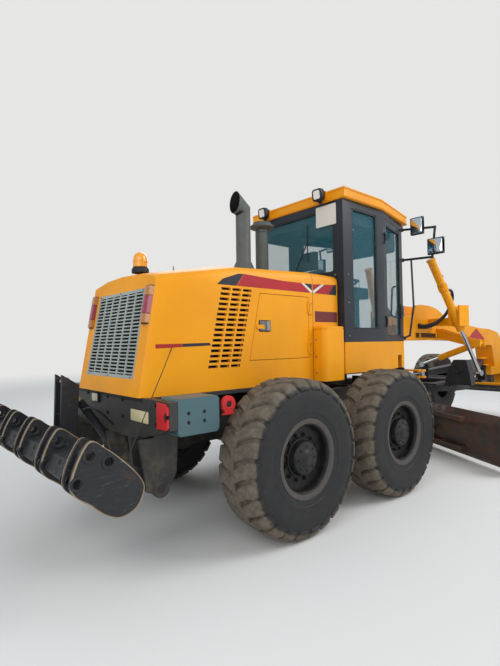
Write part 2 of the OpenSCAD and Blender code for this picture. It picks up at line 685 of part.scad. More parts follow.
hump_t = 50;                 // thickness of the beam's arched plates
plate_t = 60;                // thickness of the push plate
bolt_gap = [860, 430];       // distances between the push plate's four bolt holes
bolt_r = 13;                 // radius of these holes
module front_frame() color(yellow) place() {
    // box beam and nose
    side_plate(-neck_half, neck_half) polygon([
        [neck_back, 1655], [neck_back, 1900], [2760, 2020], [3060, 2070], [4205, 2011 - e],
        [wheelbase - 656, 1885], [wheelbase - 144, 1868],
        [wheelbase + 281, 1800], [nose_back, 1560], [nose_back, nose_low], [wheelbase - 109, nose_low],
        [wheelbase - 109, 1100], [wheelbase + 71, 1100], [wheelbase - 44, 1535],
        [wheelbase - 569, 1557], [5000, 1640], [4070, 1661]
    ]);
    // two arched plates along the beam's top
    both() side_plate(neck_half - hump_t, neck_half - fit) polygon([
        [3055, 2060], [3090, 2150], [3130, 2205], [3200, 2232], [3280, 2240], [3550, 2235], [3720, 2215],
        [3860, 2184], [3990, 2130], [4120, 2060], [4225, 1990], [3060, 1990]
    ]);
    // upright rear end with the two tongues
    block([neck_back, -neck_half, joint_z[0] - tongue_t / 2], [pivot_x + 290, neck_half, 1660]);
    for (z = joint_z) difference() {
        flat_plate(z - tongue_t / 2, z + tongue_t / 2) {
            translate([pivot_x, 0]) circle(r = ear_r - 10);
            translate([pivot_x, -ear_r + 10]) square([180, 2 * ear_r - 20]);
        }
        post(pivot_x, 0, z - tongue_t, z + tongue_t, pivot_r + fit);
    }
    // brackets of the articulation cylinders
    both() for (z = [artic_front[2] - 60, artic_front[2] + 35]) flat_plate(z, z + 25) {
        translate([artic_front[0], artic_front[1]]) circle(r = 55);
        translate([pivot_x + 200, neck_half - e]) square([90, artic_front[1] - neck_half + e]);
    }
    // push plate
    block([nose_back - e, -350, 700], [nose_x - plate_t, 350, 1150]);
    difference() {
        block([nose_x - plate_t - e, -480, 640], [nose_x, 480, 1190]);
        for (y = [-1, 1]) for (z = [-1, 1])
            long_bar(y * bolt_gap[0] / 2, 915 + z * bolt_gap[1] / 2, nose_x - plate_t - 2 * e, nose_x + e,
                bolt_r);
    }
    // plates round the ball joint's upright pin
    for (z = [ball[2] - 90, ball[2] + 60]) flat_plate(z, z + 30) {
        translate([ball[0], 0]) circle(r = 75);
        translate([ball[0], -75]) square([290, 150]);
    }
    post(ball[0], 0, ball[2] - 90, ball[2] + 90, link_r);
    // arms that carry the lift cylinders
    both() translate(trunnion) rotate([0, 0, lift_turn]) {
        for (s = [-1, 1]) difference() {
            block([-125, s * 95 - 15, -80], [75, s * 95 + 15, 240]);
            translate([0, s * 95, 0]) rotate([90, 0, 0]) cylinder(h = 60, r = 28 + fit, center = true);
        }
        block([-125, -95, 0], [-100, 95, 140]);
        block([-110, 109, -60], [20, 580, 60]);
    }
    // bracket of the shift cylinder
    for (s = [-1, 1]) cross_bracket(shift_top[0] + s * 90);
}

// One of the two plates that hold the shift cylinder's head, out from the beam's side.
module cross_bracket(x) cross_plate(x - 15, x + 15) polygon([
    [shift_top[1] - 60, shift_top[2] - 60], [shift_top[1] + 60, shift_top[2] - 60],
    [-neck_half + e, 1700], [-neck_half + e, 1860],
    [shift_top[1] + 60, shift_top[2] + 60], [shift_top[1] - 60, shift_top[2] + 60]
]);

module head_lamps() color([0.85, 0.85, 0.8]) place() both()
    block([nose_back + 10, 180, 1150 + fit], [nose_back + 100, 330, 1290]);

// Front axle with a fork for the kingpin at each end.
fork_z = [axle_z - 120, axle_z + 120];
module front_axle() color(charcoal) place() {
    block([wheelbase - 100, -kingpin_y + 200, axle_z - 80], [wheelbase + 100, kingpin_y - 200, axle_z + 80]);
    block([wheelbase - 90, -150, axle_z - e], [wheelbase + 90, 150, nose_low - fit]);
    both() {
        for (z = fork_z) flat_plate(z - 25, z + 25) {
            translate([wheelbase, kingpin_y]) circle(r = 60);
            translate([wheelbase - 60, kingpin_y - 160]) square([120, 160]);
        }
        post(wheelbase, kingpin_y, fork_z[0] - 25, fork_z[1] + 25, kingpin_r);
        // the beam's end stays clear of the steering arm, which turns over it
        block([wheelbase - 20, kingpin_y - 160, fork_z[0]], [wheelbase + 60, kingpin_y - 80, fork_z[1]]);
        block([wheelbase - 20, kingpin_y - 200 - e, axle_z - 80],
            [wheelbase + 100, kingpin_y - 160 + e, axle_z + 80]);
    }
    // bracket of the steering cylinder
    for (z = [steer_base[2] - 60, steer_base[2] + 35]) flat_plate(z, z + 25) {
        translate([steer_base[0], steer_base[1]]) circle(r = 45);
        translate([steer_base[0], steer_base[1] - 45]) square([wheelbase - 95 - steer_base[0], 90]);
    }
    block([wheelbase - 124, steer_base[1] - 45, steer_base[2] - 60],
        [wheelbase - 95, steer_base[1] + 45, steer_base[2] + 60]);
}

steer_base = [wheelbase - 170, 150, axle_z + 82];
steer_pin = [wheelbase - 170, -kingpin_y + 35, axle_z + 82];

module knuckle(side) color(charcoal) place() on_side(side) difference() {
    union() {
        post(wheelbase, kingpin_y, fork_z[0] + 25 + run, fork_z[1] - 25 - run, 62);
        cross_bar(wheelbase, axle_z, kingpin_y, wheel_y + 150, spindle_r);
        // steering arm for the tie rod
        block([wheelbase - steer_arm, kingpin_y - 25, axle_z + 15], [wheelbase, kingpin_y + 25, axle_z + 50]);
        post(wheelbase - steer_arm, kingpin_y, axle_z + 15, axle_z + 50, 38);
        post(steer_pin[0], -steer_pin[1], axle_z + 15, axle_z + 50, 34);
    }
    post(wheelbase, kingpin_y, fork_z[0], fork_z[1], kingpin_r + fit);
}

module tie_rod() color(steel) place() {
    cross_bar(wheelbase - steer_arm, axle_z - 15, -kingpin_y, kingpin_y, 20);
    both() post(wheelbase - steer_arm, kingpin_y, axle_z - 40, axle_z + 15 - fit, 34);
}

// HYDRAULIC CYLINDERS

// Barrel from its base at a towards the pin b, l long, hollow for the rod; a neck leads to it from its eye.
module barrel(a, b, l, r, rod, neck = 0) {
    if (neck > 0) bar(a, along(a, b, neck + e), rod);
    difference() {
        bar(along(a, b, neck), along(a, b, l), r);
        bar(along(a, b, neck + 60), along(a, b, l + e), rod + fit);
    }
}

eye_half = 35 - fit;         // half height of a barrel's eye between its two plates
module steer_barrel() color(yellow) place() {
    barrel(steer_base, steer_pin, 660, 30, 19);
    post(steer_base[0], steer_base[1], steer_base[2] - eye_half, steer_base[2] + eye_half, 40);
}
module steer_rod() color(steel) place() {
    bar(along(steer_base, steer_pin, 430), steer_pin, 19);
    post(steer_pin[0], steer_pin[1], steer_pin[2] - 27, steer_pin[2] + 27, 34);
}

lift_barrel_l = 1230;
module lift_barrel(side) color(yellow) place() on_side(side) {
    barrel(lift_top, lift_pin, lift_barrel_l, lift_r, lift_rod_r);
    difference() {
        bar(along(lift_top, lift_pin, 460), along(lift_top, lift_pin, 520), lift_r + 12);
        bar(along(lift_top, lift_pin, 450), along(lift_top, lift_pin, 530), lift_r - 8);
    }
    for (s = [-1, 1]) translate(trunnion) rotate([0, 0, lift_turn]) rotate([-s * 90, 0, 0])
        translate([0, 0, lift_rod_r + 15]) cylinder(h = 62, r = 28);
}
module lift_rod(side) color(steel) place() on_side(side) {
    bar(along(lift_top, lift_pin, 760), lift_pin + lift_dir * 20, lift_rod_r);
    translate(lift_pin) rotate([0, 0, lift_turn]) rotate([90, 0, 0])
        cylinder(h = 2 * lift_rod_r + 8, r = 42, center = true);
}

module shift_barrel() color(yellow) place() {
    barrel(shift_top, shift_pin, 700, shift_r, 28);
    long_bar(shift_top[1], shift_top[2], shift_top[0] - 75 + fit, shift_top[0] + 75 - fit, 40);
}
module shift_rod() color(steel) place() {
    bar(along(shift_top, shift_pin, 380), shift_pin, 28);
    long_bar(shift_pin[1], shift_pin[2], shift_pin[0] - 30, shift_pin[0] + 30, 45);
}

module artic_barrel(side) color(charcoal) place() on_side(side) {
    barrel(artic_rear, artic_front, 860, artic_r, 26, 62);
    post(artic_rear[0], artic_rear[1], artic_rear[2] - eye_half, artic_rear[2] + eye_half, 52);
}
module artic_rod(side) color(steel) place() on_side(side) {
    bar(along(artic_rear, artic_front, 560), artic_front, 26);
    post(artic_front[0], artic_front[1], artic_front[2] - 30, artic_front[2] + 30, 45);
}

// BLADE

pad_t = 22;                  // thickness of the wear pads over the circle
frame_z = circle_top + fit + pad_t;
beam_h = 115;
frame_t = 30;                // thickness of the frame over the circle

module draw_link() color([0.17, 0.18, 0.2]) place() difference() {
    union() {
        flat_plate(ball[2] - 55, ball[2] + 55) {
            translate([ball[0], 0]) circle(r = 62);
            translate([link_pin[0], -55]) square([ball[0] - link_pin[0], 110]);
        }
        cross_bar(link_pin[0], link_pin[2], -55, 55, 55);
    }
    post(ball[0], 0, ball[2] - 60, ball[2] + 60, link_r + fit);
    cross_bar(link_pin[0], link_pin[2], -60, 60, link_r + fit);
}

module drawbar() color([0.17, 0.18, 0.2]) place() {
    // two beams from the ball joint to the frame over the circle
    intersection() {
        flat_plate(900, 1400) polygon([
            [link_pin[0], -90], [link_pin[0], -60], [link_pin[0] - 90, -60],
            [link_pin[0] - 90, 60], [link_pin[0], 60], [link_pin[0], 90],
            [4330, 520], [4260, 520], [4260, 380], [link_pin[0] - 380, 0],
            [4260, -380], [4260, -520], [4330, -520]
        ]);
        side_plate(-600, 600) polygon([
            [4200, frame_z], [4500, frame_z], [link_pin[0], ball[2] - 60], [link_pin[0], ball[2] + 60],
            [link_pin[0] - 180, ball[2] + 40],
            [4500, frame_z + beam_h], [4200, frame_z + beam_h]
        ]);
    }
    both() side_plate(60, 90) translate([link_pin[0], link_pin[2]]) circle(r = 60);
    cross_bar(link_pin[0], link_pin[2], -61, 61, link_r);
    // frame over the circle
    difference() {
        block([2790, -640, frame_z], [4330, 640, frame_z + frame_t]);
        block([2960, -480, frame_z - e], [4170, 480, frame_z + frame_t + e]);
    }
    for (x = [-430, 430]) for (y = [-560, 560]) post(circle_x + x, y, circle_top + fit, frame_z + e, 60);
    // arms to the lift cylinders, with one ear in front of each rod's eye
    both() {
        block([3760, 630, frame_z], [3990, 900, frame_z + 30]);
        block([3920, 780, frame_z + 30 - e], [3960, 900, lift_pin[2] + 40]);
    }
    // housing of the circle's drive
    cross_plate(3150, 3300) polygon([
        [-1000, frame_z], [-600, frame_z], [-640, 1150], [-740, 1355], [-930, 1355], [-980, 1150]
    ]);
    long_bar(-805, 1230, 3135, 3150 + e, 75);
    // bracket of the shift cylinder
    block([shift_pin[0] - 160, -481, frame_z], [shift_pin[0] + 110, 481, frame_z + 30]);
    block([shift_pin[0] + 75, shift_pin[1] - 60, frame_z + 30 - e],
        [shift_pin[0] + 100, shift_pin[1] + 60, shift_pin[2] + 45]);
}

teeth_r = 640;
tooth_h = 24;                // height of the circle's inner teeth
teeth = 60;
blade_back = -230;           // rear of the blade behind the circle's centre
blade_r = blade_h / 2 / sin(42);
blade_c = [blade_back + blade_t + blade_r, blade_lift + blade_h / 2];
blade_tip = blade_c[0] - blade_r * cos(42);
blade_shift = (blade_back + blade_tip) / 2 * tan(blade_angle);
tilt_pin = [-350, 230];
arm_y = [490, 545];
jaw_y = [400, 480];
rail_v = [blade_back - 35, blade_back + 70];
rail_h = [536, 134];
rail_t = 60;

// Stands the blade's group, drawn straight across the circle's centre, at its angle.
module turned() translate([circle_x, 0, 0]) rotate([0, 0, -blade_angle]) children();

module circle_ring() color([0.17, 0.18, 0.2]) place() turned() {
    flat_plate(circle_z, circle_top) difference() {
        circle(r = circle_r);
        polygon([for (i = [0 : teeth - 1]) for (k = [[0, 0], [0.3, 0], [0.45, tooth_h], [0.85, tooth_h]])
            (teeth_r + k[1]) * [cos((i + k[0]) * 360 / teeth), sin((i + k[0]) * 360 / teeth)]]);
    }
    // arms down to the blade's tilt pins
    both() {
        side_plate(arm_y[0], arm_y[1]) {
            polygon([
                [-560, circle_z + e], [-430, circle_z + e], [-430, 500], [-405, 330], [-350, 290],
                [-410, 230], [-495, 500]
            ]);
            translate(tilt_pin) circle(r = 60);
        }
        cross_bar(tilt_pin[0], tilt_pin[1], jaw_y[0] - 5, arm_y[1], 25);
    }
}

module blade_carrier() color([0.17, 0.18, 0.2]) place() turned() {
    difference() {
        union() {
            both() side_plate(jaw_y[0], jaw_y[1]) {
                translate([rail_v[0] - 85, 95]) square([80, 550]);
                for (z = rail_h) for (dz = [-42, rail_t + 5]) translate([rail_v[0] - 10,
                    z + dz]) square([35, 37]);
                translate(tilt_pin) circle(r = 60);
            }
            // barrel of the side-shift cylinder
            cross_bar(side_bar[0], side_bar[1], -850, jaw_y[1] + 4, 38);
        }
        both() cross_bar(tilt_pin[0], tilt_pin[1], jaw_y[0] - 20, jaw_y[1] + 20, 25 + fit);
        cross_bar(side_bar[0], side_bar[1], -820, jaw_y[1] + 40, 20 + fit);
    }
}
side_bar = [-310, 365];

module moldboard() color([0.33, 0.3, 0.28]) place() turned() translate([0, blade_shift, 0]) {
    side_plate(-blade_l / 2, blade_l / 2) difference() {
        translate(blade_c) intersection() {
            difference() {
                circle(r = blade_r + blade_t, $fn = 96);
                circle(r = blade_r, $fn = 96);
            }
            polygon([[0, 0], [-700, -700 * tan(42)], [-700, 700 * tan(42)]]);
        }
    }
    side_plate(-1300, 1300) difference() {
        for (z = rail_h) translate([rail_v[0], z]) square([rail_v[1] - rail_v[0], rail_t]);
        translate(blade_c) circle(r = blade_r + 8, $fn = 96);
    }
    // rod of the side-shift cylinder and its bracket
    cross_bar(side_bar[0], side_bar[1], -100, 1210, 20);
    block([side_bar[0] - 40, 1200, side_bar[1] - 40], [blade_back + 10, 1240, side_bar[1] + 40]);
}

// RIPPER

cyl_low = [-1890, 0, 730];
cyl_high = [-2330, 0, 1360];
holder_y = [for (i = [-2 : 2]) i * 560];         // middles of the five shank holders
holder_t = 34;               // thickness of a holder's plate
holder_gap = 43;             // half width of a shank's slot
// Outline of a holder's plate.
holder_pts = [
    [ripper_x, 838], [ripper_x + 102, 1082], [ripper_x + 218, 1031], [ripper_x + 365, 902],
    [ripper_x + 448, 799], [ripper_x + 463, 729], [ripper_x + 415, 635], [ripper_x + 312, 595],
    [ripper_x + 214, 630], [ripper_x + 122, 708]
];
holder_holes = [[ripper_x + 116, 1004], [ripper_x + 230, 951], [ripper_x + 40, 855]];
// Outline of the box beam between two holders.
beam_pts = [
    [ripper_x + 25, 835], [ripper_x + 70, 945], [ripper_x + 150, 960], [ripper_x + 205, 1000],
    [ripper_x + 345, 880],
    [ripper_x + 425, 790], [ripper_x + 435, 735], [ripper_x + 300, 625], [ripper_x + 210, 660],
    [ripper_x + 135, 725]
];
module ripper() color([0.14, 0.14, 0.15]) place() {
    // box beam between five pairs of plates that hold the shanks
    for (i = [0 : 3]) side_plate(holder_y[i] + holder_gap + holder_t - e,
        holder_y[i + 1] - holder_gap - holder_t + e)
        polygon(beam_pts);
    block([ripper_x + 300, -ripper_half + 35, 700], [ripper_x + 425, ripper_half - 35, 800]);
    for (y = holder_y) for (s = [-1, 1]) side_plate(y + s * 60 - holder_t / 2, y + s * 60 + holder_t / 2)
        difference() {
            polygon(holder_pts);
            for (p = holder_holes) translate(p) circle(r = 28);
        }
    // arms to the hinge
    both() side_plate(640, 745) {
        polygon([[-2270, 880], [-2270, 710], [ripper_pin[0], ripper_pin[1] - 60],
            [ripper_pin[0] + 20, ripper_pin[1] + 60], [-2000, 720]]);
        translate(ripper_pin) circle(r = 64);
    }
    both() cross_bar(ripper_pin[0], ripper_pin[1], 595, 795, 32);
    // tower for the cylinder
    both() side_plate(60, 90) polygon([[-2395, 890], [-2265, 890], [-2240, 1330], [-2380, 1420]]);
}

module ripper_barrel() color([0.14, 0.14, 0.15]) place() {
    barrel(cyl_low, cyl_high, 560, 36, 20);
    cross_bar(cyl_low[0], cyl_low[2], -45 + fit, 45 - fit, 42);
}
module ripper_rod() color(steel) place() {
    bar(along(cyl_low, cyl_high, 250), cyl_high, 20);
    cross_bar(cyl_high[0], cyl_high[2], -30, 30, 36);
}

rear_frame();
engine();
hood();
grille();
rear_lamps();
stacks();
side_cabinets();
tool_boxes();
tandems();
cab_base();
cab_frame();
cab_roof();
cab_glass();
seat();
console();
rails();
engine_door(-1);  // engine_door_right
engine_door(1);  // engine_door_left
cab_door(-1);  // cab_door_right
cab_door(1);  // cab_door_left
door_glass(-1);  // door_glass_right
door_glass(1);  // door_glass_left
front_frame();
front_axle();
head_lamps();
knuckle(-1);  // knuckle_right
knuckle(1);  // knuckle_left
tie_rod();
steer_barrel();
steer_rod();
draw_link();
drawbar();
circle_ring();
blade_carrier();
moldboard();
lift_barrel(-1);  // lift_barrel_right
lift_barrel(1);  // lift_barrel_left
lift_rod(-1);  // lift_rod_right
lift_rod(1);  // lift_rod_left
shift_barrel();
shift_rod();
artic_barrel(-1);  // artic_barrel_right
artic_barrel(1);  // artic_barrel_left
artic_rod(-1);  // artic_rod_right
artic_rod(1);  // artic_rod_left
ripper();
ripper_barrel();
ripper_rod();
tyre(-tandem_pitch / 2, -1);  // tyre_rear_right
tyre(-tandem_pitch / 2, 1);  // tyre_rear_left
tyre(tandem_pitch / 2, -1);  // tyre_mid_right
tyre(tandem_pitch / 2, 1);  // tyre_mid_left
tyre(wheelbase, -1);  // tyre_front_right
tyre(wheelbase, 1);  // tyre_front_left
rim(-tandem_pitch / 2, -1);  // rim_rear_right
rim(-tandem_pitch / 2, 1);  // rim_rear_left
rim(tandem_pitch / 2, -1);  // rim_mid_right
rim(tandem_pitch / 2, 1);  // rim_mid_left
rim(wheelbase, -1);  // rim_front_right
rim(wheelbase, 1);  // rim_front_left
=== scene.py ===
import bmesh
import bpy
import math
from mathutils import Matrix, Vector


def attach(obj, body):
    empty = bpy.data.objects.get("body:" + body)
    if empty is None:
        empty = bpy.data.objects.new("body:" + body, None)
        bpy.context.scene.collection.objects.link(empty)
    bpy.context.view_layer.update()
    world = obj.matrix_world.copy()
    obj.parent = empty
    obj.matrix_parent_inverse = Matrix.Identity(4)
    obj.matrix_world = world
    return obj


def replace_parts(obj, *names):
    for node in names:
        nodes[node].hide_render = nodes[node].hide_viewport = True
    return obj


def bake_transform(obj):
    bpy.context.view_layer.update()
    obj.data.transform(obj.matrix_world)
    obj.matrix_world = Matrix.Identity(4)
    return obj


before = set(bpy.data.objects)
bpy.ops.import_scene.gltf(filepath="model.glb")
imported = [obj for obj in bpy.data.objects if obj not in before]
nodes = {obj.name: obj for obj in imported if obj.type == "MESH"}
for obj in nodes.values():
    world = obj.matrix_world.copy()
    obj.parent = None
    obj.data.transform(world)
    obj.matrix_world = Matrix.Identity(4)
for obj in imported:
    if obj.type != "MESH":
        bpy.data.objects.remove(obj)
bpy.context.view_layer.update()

# The machine was measured from the middle of its tandem axles; the frame's origin is its own middle.
MIDDLE = 2.155


def at(x, y, z):
    """A place on the machine, from the middle of its tandem axles, in the frame's metres."""
    return Vector((x - MIDDLE, y, z))


# CAMERA

EYE = at(-3.593, -3.800, 1.657)
LOOK_LEFT = math.radians(48.92)
LOOK_UP = math.radians(1.28)
ROLL = math.radians(-0.85)
LENS = 24.0
SENSOR = 36.0

forward = Vector((math.cos(LOOK_LEFT), math.sin(LOOK_LEFT), 0.0))
right = Vector((math.sin(LOOK_LEFT), -math.cos(LOOK_LEFT), 0.0))
ahead = forward * math.cos(LOOK_UP) + Vector((0, 0, 1)) * math.sin(LOOK_UP)
above = Vector((0, 0, 1)) * math.cos(LOOK_UP) - forward * math.sin(LOOK_UP)
side = right * math.cos(ROLL) + above * math.sin(ROLL)
top = above * math.cos(ROLL) - right * math.sin(ROLL)

camera = bpy.data.objects.new("camera", bpy.data.cameras.new("camera"))
camera.data.lens = LENS
camera.data.sensor_width = SENSOR
camera.data.clip_end = 200
camera.matrix_world = Matrix((
    (side.x, top.x, -ahead.x, EYE.x),
    (side.y, top.y, -ahead.y, EYE.y),
    (side.z, top.z, -ahead.z, EYE.z),
    (0, 0, 0, 1),
))
bpy.context.scene.collection.objects.link(camera)
bpy.context.scene.camera = camera


# COLOURS AND MATERIALS

def linear(code):
    """An sRGB hex colour as linear RGBA."""
    parts = [int(code[i:i + 2], 16) / 255 for i in (1, 3, 5)]
    return (*[p / 12.92 if p <= 0.04045 else ((p + 0.055) / 1.055) ** 2.4 for p in parts], 1.0)


def add(tree, kind, props=None, **sockets):
    """Adds a shader node with its settings; a socket gets a value or another node's output."""
    made = tree.nodes.new("ShaderNode" + kind)
    for name, value in (props or {}).items():
        setattr(made, name, value)
    for name, value in sockets.items():
        index = int(name[2:]) if name[:2] == "in" and name[2:].isdigit() else name.replace("_", " ")
        socket = made.inputs[index]
        if isinstance(value, bpy.types.NodeSocket):
            tree.links.new(value, socket)
        else:
            socket.default_value = value
    return made


def start(name):
    """A new material with an empty tree, its object coordinates and its shader."""
    mat = bpy.data.materials.new(name)
    mat.use_nodes = True
    tree = mat.node_tree
    tree.nodes.clear()
    spot = tree.nodes.new("ShaderNodeTexCoord").outputs["Object"]
    shader = tree.nodes.new("ShaderNodeBsdfPrincipled")
    out = tree.nodes.new("ShaderNodeOutputMaterial")
    tree.links.new(shader.outputs[0], out.inputs[0])
    return mat, tree, spot, shader


def noise(tree, spot, size_mm, detail=4.0, rough=0.55):
    """Noise whose blotches are about size_mm across."""
    return add(tree, "TexNoise", Vector=spot, Scale=1000 / size_mm, Detail=detail, Roughness=rough).outputs[0]


def ramp(tree, value, low, high, dark=0.0, light=1.0):
    """A smooth step of a value from low to high."""
    return add(tree, "MapRange", {"interpolation_type": "SMOOTHSTEP"}, Value=value, in1=low, in2=high,
               in3=dark, in4=light).outputs[0]


def mix(tree, share, a, b):
    """Mixes two colours by a share."""
    made = add(tree, "Mix", {"data_type": "RGBA"}, in0=share)
    for index, value in ((6, a), (7, b)):
        if isinstance(value, bpy.types.NodeSocket):
            tree.links.new(value, made.inputs[index])
        else:
            made.inputs[index].default_value = value
    return made.outputs[2]


def times(tree, a, b, how="MULTIPLY"):
    """Joins two values by arithmetic."""
    return add(tree, "Math", {"operation": how}, in0=a, in1=b).outputs[0]


SOFT_EDGE = 0.005


def bump(tree, shader, value, mm, strength=1.0):
    """Raises the surface by a value, at most mm high, and rounds its edges for the light."""
    soft = add(tree, "Bevel", {"samples": 4}, Radius=SOFT_EDGE)
    made = add(tree, "Bump", Height=value, Distance=mm / 1000, Strength=strength, Normal=soft.outputs[0])
    tree.links.new(made.outputs[0], shader.inputs["Normal"])


def enamel(name, code, shade, dust="#8c7a60", dust_high=1.5, gloss=0.40, dusty=0.5):
    """Sprayed enamel on steel: even, softly glossy, faintly rippled, with road dust low down."""
    mat, tree, spot, shader = start(name)
    cloud = noise(tree, spot, 900, 3.0)
    paint = mix(tree, ramp(tree, cloud, 0.35, 0.7), linear(code), linear(shade))
    low = ramp(tree, add(tree, "SeparateXYZ", in0=spot).outputs[2], dust_high, dust_high - 0.9)
    speck = ramp(tree, noise(tree, spot, 120, 8.0, 0.7), 0.42, 0.75)
    film = times(tree, times(tree, low, speck), dusty)
    grime = times(tree, ramp(tree, noise(tree, spot, 45, 9.0, 0.75), 0.62, 0.8), 0.12 * dusty + 0.04)
    film = times(tree, film, grime, "MAXIMUM")
    tree.links.new(mix(tree, film, paint, linear(dust)), shader.inputs["Base Color"])
    rough = add(tree, "MapRange", Value=film, in1=0.0, in2=0.6, in3=gloss, in4=0.85).outputs[0]
    tree.links.new(rough, shader.inputs["Roughness"])
    shader.inputs["Specular IOR Level"].default_value = 0.3
    shader.inputs["Coat Weight"].default_value = 0.10
    shader.inputs["Coat Roughness"].default_value = 0.12
    # orange peel of sprayed paint, drawn at 9 mm so that it shows
    bump(tree, shader, noise(tree, spot, 9, 2.0), 0.15, 0.5)
    return mat


def worn_steel(name, code, rust, bright, rust_share=0.5, shine=0.55):
    """Rolled plate that works in soil: dark scale, rust blotches and scoured streaks."""
    mat, tree, spot, shader = start(name)
    blotch = ramp(tree, noise(tree, spot, 160, 8.0, 0.68), 0.62 - 0.3 * rust_share, 0.78 - 0.2 * rust_share)
    base = mix(tree, blotch, linear(code), linear(rust))
    streak = add(tree, "Mapping", Vector=spot, Scale=(3.0, 3.0, 14.0)).outputs[0]
    scour = ramp(tree, noise(tree, streak, 300, 9.0, 0.75), 0.56, 0.74)
    scour = times(tree, scour, shine)
    tree.links.new(mix(tree, scour, base, linear(bright)), shader.inputs["Base Color"])
    tree.links.new(ramp(tree, scour, 0.0, 0.6, 0.15, 0.8), shader.inputs["Metallic"])
    tree.links.new(ramp(tree, blotch, 0.0, 1.0, 0.5, 0.85), shader.inputs["Roughness"])
    bump(tree, shader, noise(tree, spot, 25, 8.0, 0.7), 1.2, 0.8)
    return mat


def plain(name, code, rough=0.5, metal=0.0, grain_mm=20, rise=0.2, vary=0.12):
    """A moulded or turned surface with a faint cloud of colour and a fine grain."""
    mat, tree, spot, shader = start(name)
    cloud = noise(tree, spot, 180, 5.0)
    dark = tuple(c * (1 - vary) for c in linear(code)[:3]) + (1.0,)
    tree.links.new(mix(tree, ramp(tree, cloud, 0.35, 0.65), linear(code), dark), shader.inputs["Base Color"])
    shader.inputs["Metallic"].default_value = metal
    tree.links.new(ramp(tree, noise(tree, spot, 60, 6.0), 0.3, 0.7, rough * 0.85, min(1.0, rough * 1.15)),
                   shader.inputs["Roughness"])
    bump(tree, shader, noise(tree, spot, grain_mm, 4.0), rise, 0.5)
    return mat


def tyre_rubber():
    """Black tyre rubber, with the tread under a skin of dried mud that thins out on the sidewall."""
    mat, tree, spot, shader = start("tyre rubber with dried mud")
    parts = add(tree, "SeparateXYZ", in0=spot)
    out = add(tree, "CombineXYZ", X=parts.outputs[0], Z=parts.outputs[2])
    radius = add(tree, "VectorMath", {"operation": "LENGTH"}, in0=out.outputs[0]).outputs[1]
    patch = noise(tree, spot, 110, 8.0, 0.7)
    edge = times(tree, radius, times(tree, times(tree, patch, 0.5, "SUBTRACT"), 0.10), "ADD")
    mud = ramp(tree, edge, 0.598, 0.622)
    rubber = mix(tree, ramp(tree, noise(tree, spot, 260, 6.0), 0.35, 0.7), linear("#16171a"),
                 linear("#201f1e"))
    dust = times(tree, ramp(tree, noise(tree, spot, 70, 9.0, 0.75), 0.5, 0.8), 0.16)
    rubber = mix(tree, dust, rubber, linear("#6b6458"))
    soil = mix(tree, ramp(tree, noise(tree, spot, 60, 8.0, 0.7), 0.3, 0.7), linear("#70675a"),
               linear("#544c42"))
    tree.links.new(mix(tree, mud, rubber, soil), shader.inputs["Base Color"])
    tree.links.new(ramp(tree, mud, 0.0, 1.0, 0.62, 0.95), shader.inputs["Roughness"])
    bump(tree, shader, noise(tree, spot, 22, 8.0, 0.7), 2.5, 0.7)
    return mat


def window_glass():
    """Toughened cab glass with a blue tint: thin and clear, bright only where it mirrors the sky."""
    mat, tree, spot, shader = start("tinted cab glass")
    shader.inputs["Base Color"].default_value = linear("#3f8798")
    shader.inputs["Roughness"].default_value = 0.03
    shader.inputs["IOR"].default_value = 1.5
    shader.inputs["Alpha"].default_value = 0.20
    shader.inputs["Coat Weight"].default_value = 0.3
    smear = ramp(tree, noise(tree, spot, 300, 6.0), 0.4, 0.8, 0.02, 0.09)
    tree.links.new(smear, shader.inputs["Coat Roughness"])
    return mat


def lens(name, code, glow=0.0):
    """Moulded lamp lens with fine upright flutes."""
    mat, tree, spot, shader = start(name)
    wave = add(tree, "TexWave", {"bands_direction": "Y"}, Vector=spot, Scale=60.0, Distortion=0.0)
    tree.links.new(mix(tree, ramp(tree, wave.outputs[1], 0.2, 0.8), linear(code),
                       tuple(c * 0.72 for c in linear(code)[:3]) + (1.0,)), shader.inputs["Base Color"])
    shader.inputs["Roughness"].default_value = 0.18
    shader.inputs["Coat Weight"].default_value = 0.7
    shader.inputs["Emission Color"].default_value = linear(code)
    shader.inputs["Emission Strength"].default_value = glow
    bump(tree, shader, wave.outputs[1], 0.8, 0.6)
    return mat


YELLOW = enamel("construction yellow enamel", "#f2a000", "#e69500", dusty=0.30, gloss=0.5)
CAB_DARK = enamel("dark blue-grey enamel", "#2b3038", "#23272e", dust="#6f6a60", dusty=0.4)
CHARCOAL = enamel("charcoal frame enamel", "#3a3a39", "#2d2d2d", dust="#6e6353", dust_high=1.35, gloss=0.5,
                  dusty=0.75)
GREY_GREEN = enamel("grey-green enamel", "#4c686e", "#446066", dust="#7d776a", dusty=0.3, gloss=0.4)
GRILLE_GREY = enamel("light grey grille enamel", "#a3aba6", "#8f9893", dust="#8c8270", dusty=0.5, gloss=0.5)
BLACK = enamel("black machinery enamel", "#24262a", "#1b1c1f", dust="#5d5446", dust_high=1.3, gloss=0.45,
               dusty=0.8)
STACK = plain("heat-resisting grey paint", "#5c615e", 0.62, 0.2, 15, 0.3)
CHROME = plain("hard-chromed rod", "#b9bdc2", 0.16, 1.0, 4, 0.02, vary=0.05)
RUBBER = tyre_rubber()
HOSE = plain("hydraulic hose rubber", "#1d1d1f", 0.55, 0.0, 6, 0.3)
# Near-black rubber and plastic for seals, grab bars, boots and housings; also painted shade in the latch
# recesses and the lugs' slots, and a painted shadow under the hood's lower edge.
BLACK_TRIM_AND_SHADE = plain("black rubber trim and painted shade", "#191a1c", 0.6, 0.0, 6, 0.2)
GLASS = window_glass()
BLADE = worn_steel("blade steel with rust", "#332a25", "#5c4132", "#8f8a84", 0.7, 0.35)
RIPPER = worn_steel("ripper steel, scuffed", "#232428", "#4a3a30", "#8d8a86", 0.25, 0.6)
EDGE = worn_steel("worn edge steel", "#9a866a", "#8d6a48", "#d2c6b2", 0.4, 0.8)
AMBER = lens("amber lens", "#b9722a", 0.03)
RED = lens("red lens", "#980f34", 0.02)
CLEAR = lens("clear lens", "#e8e6df", 0.10)
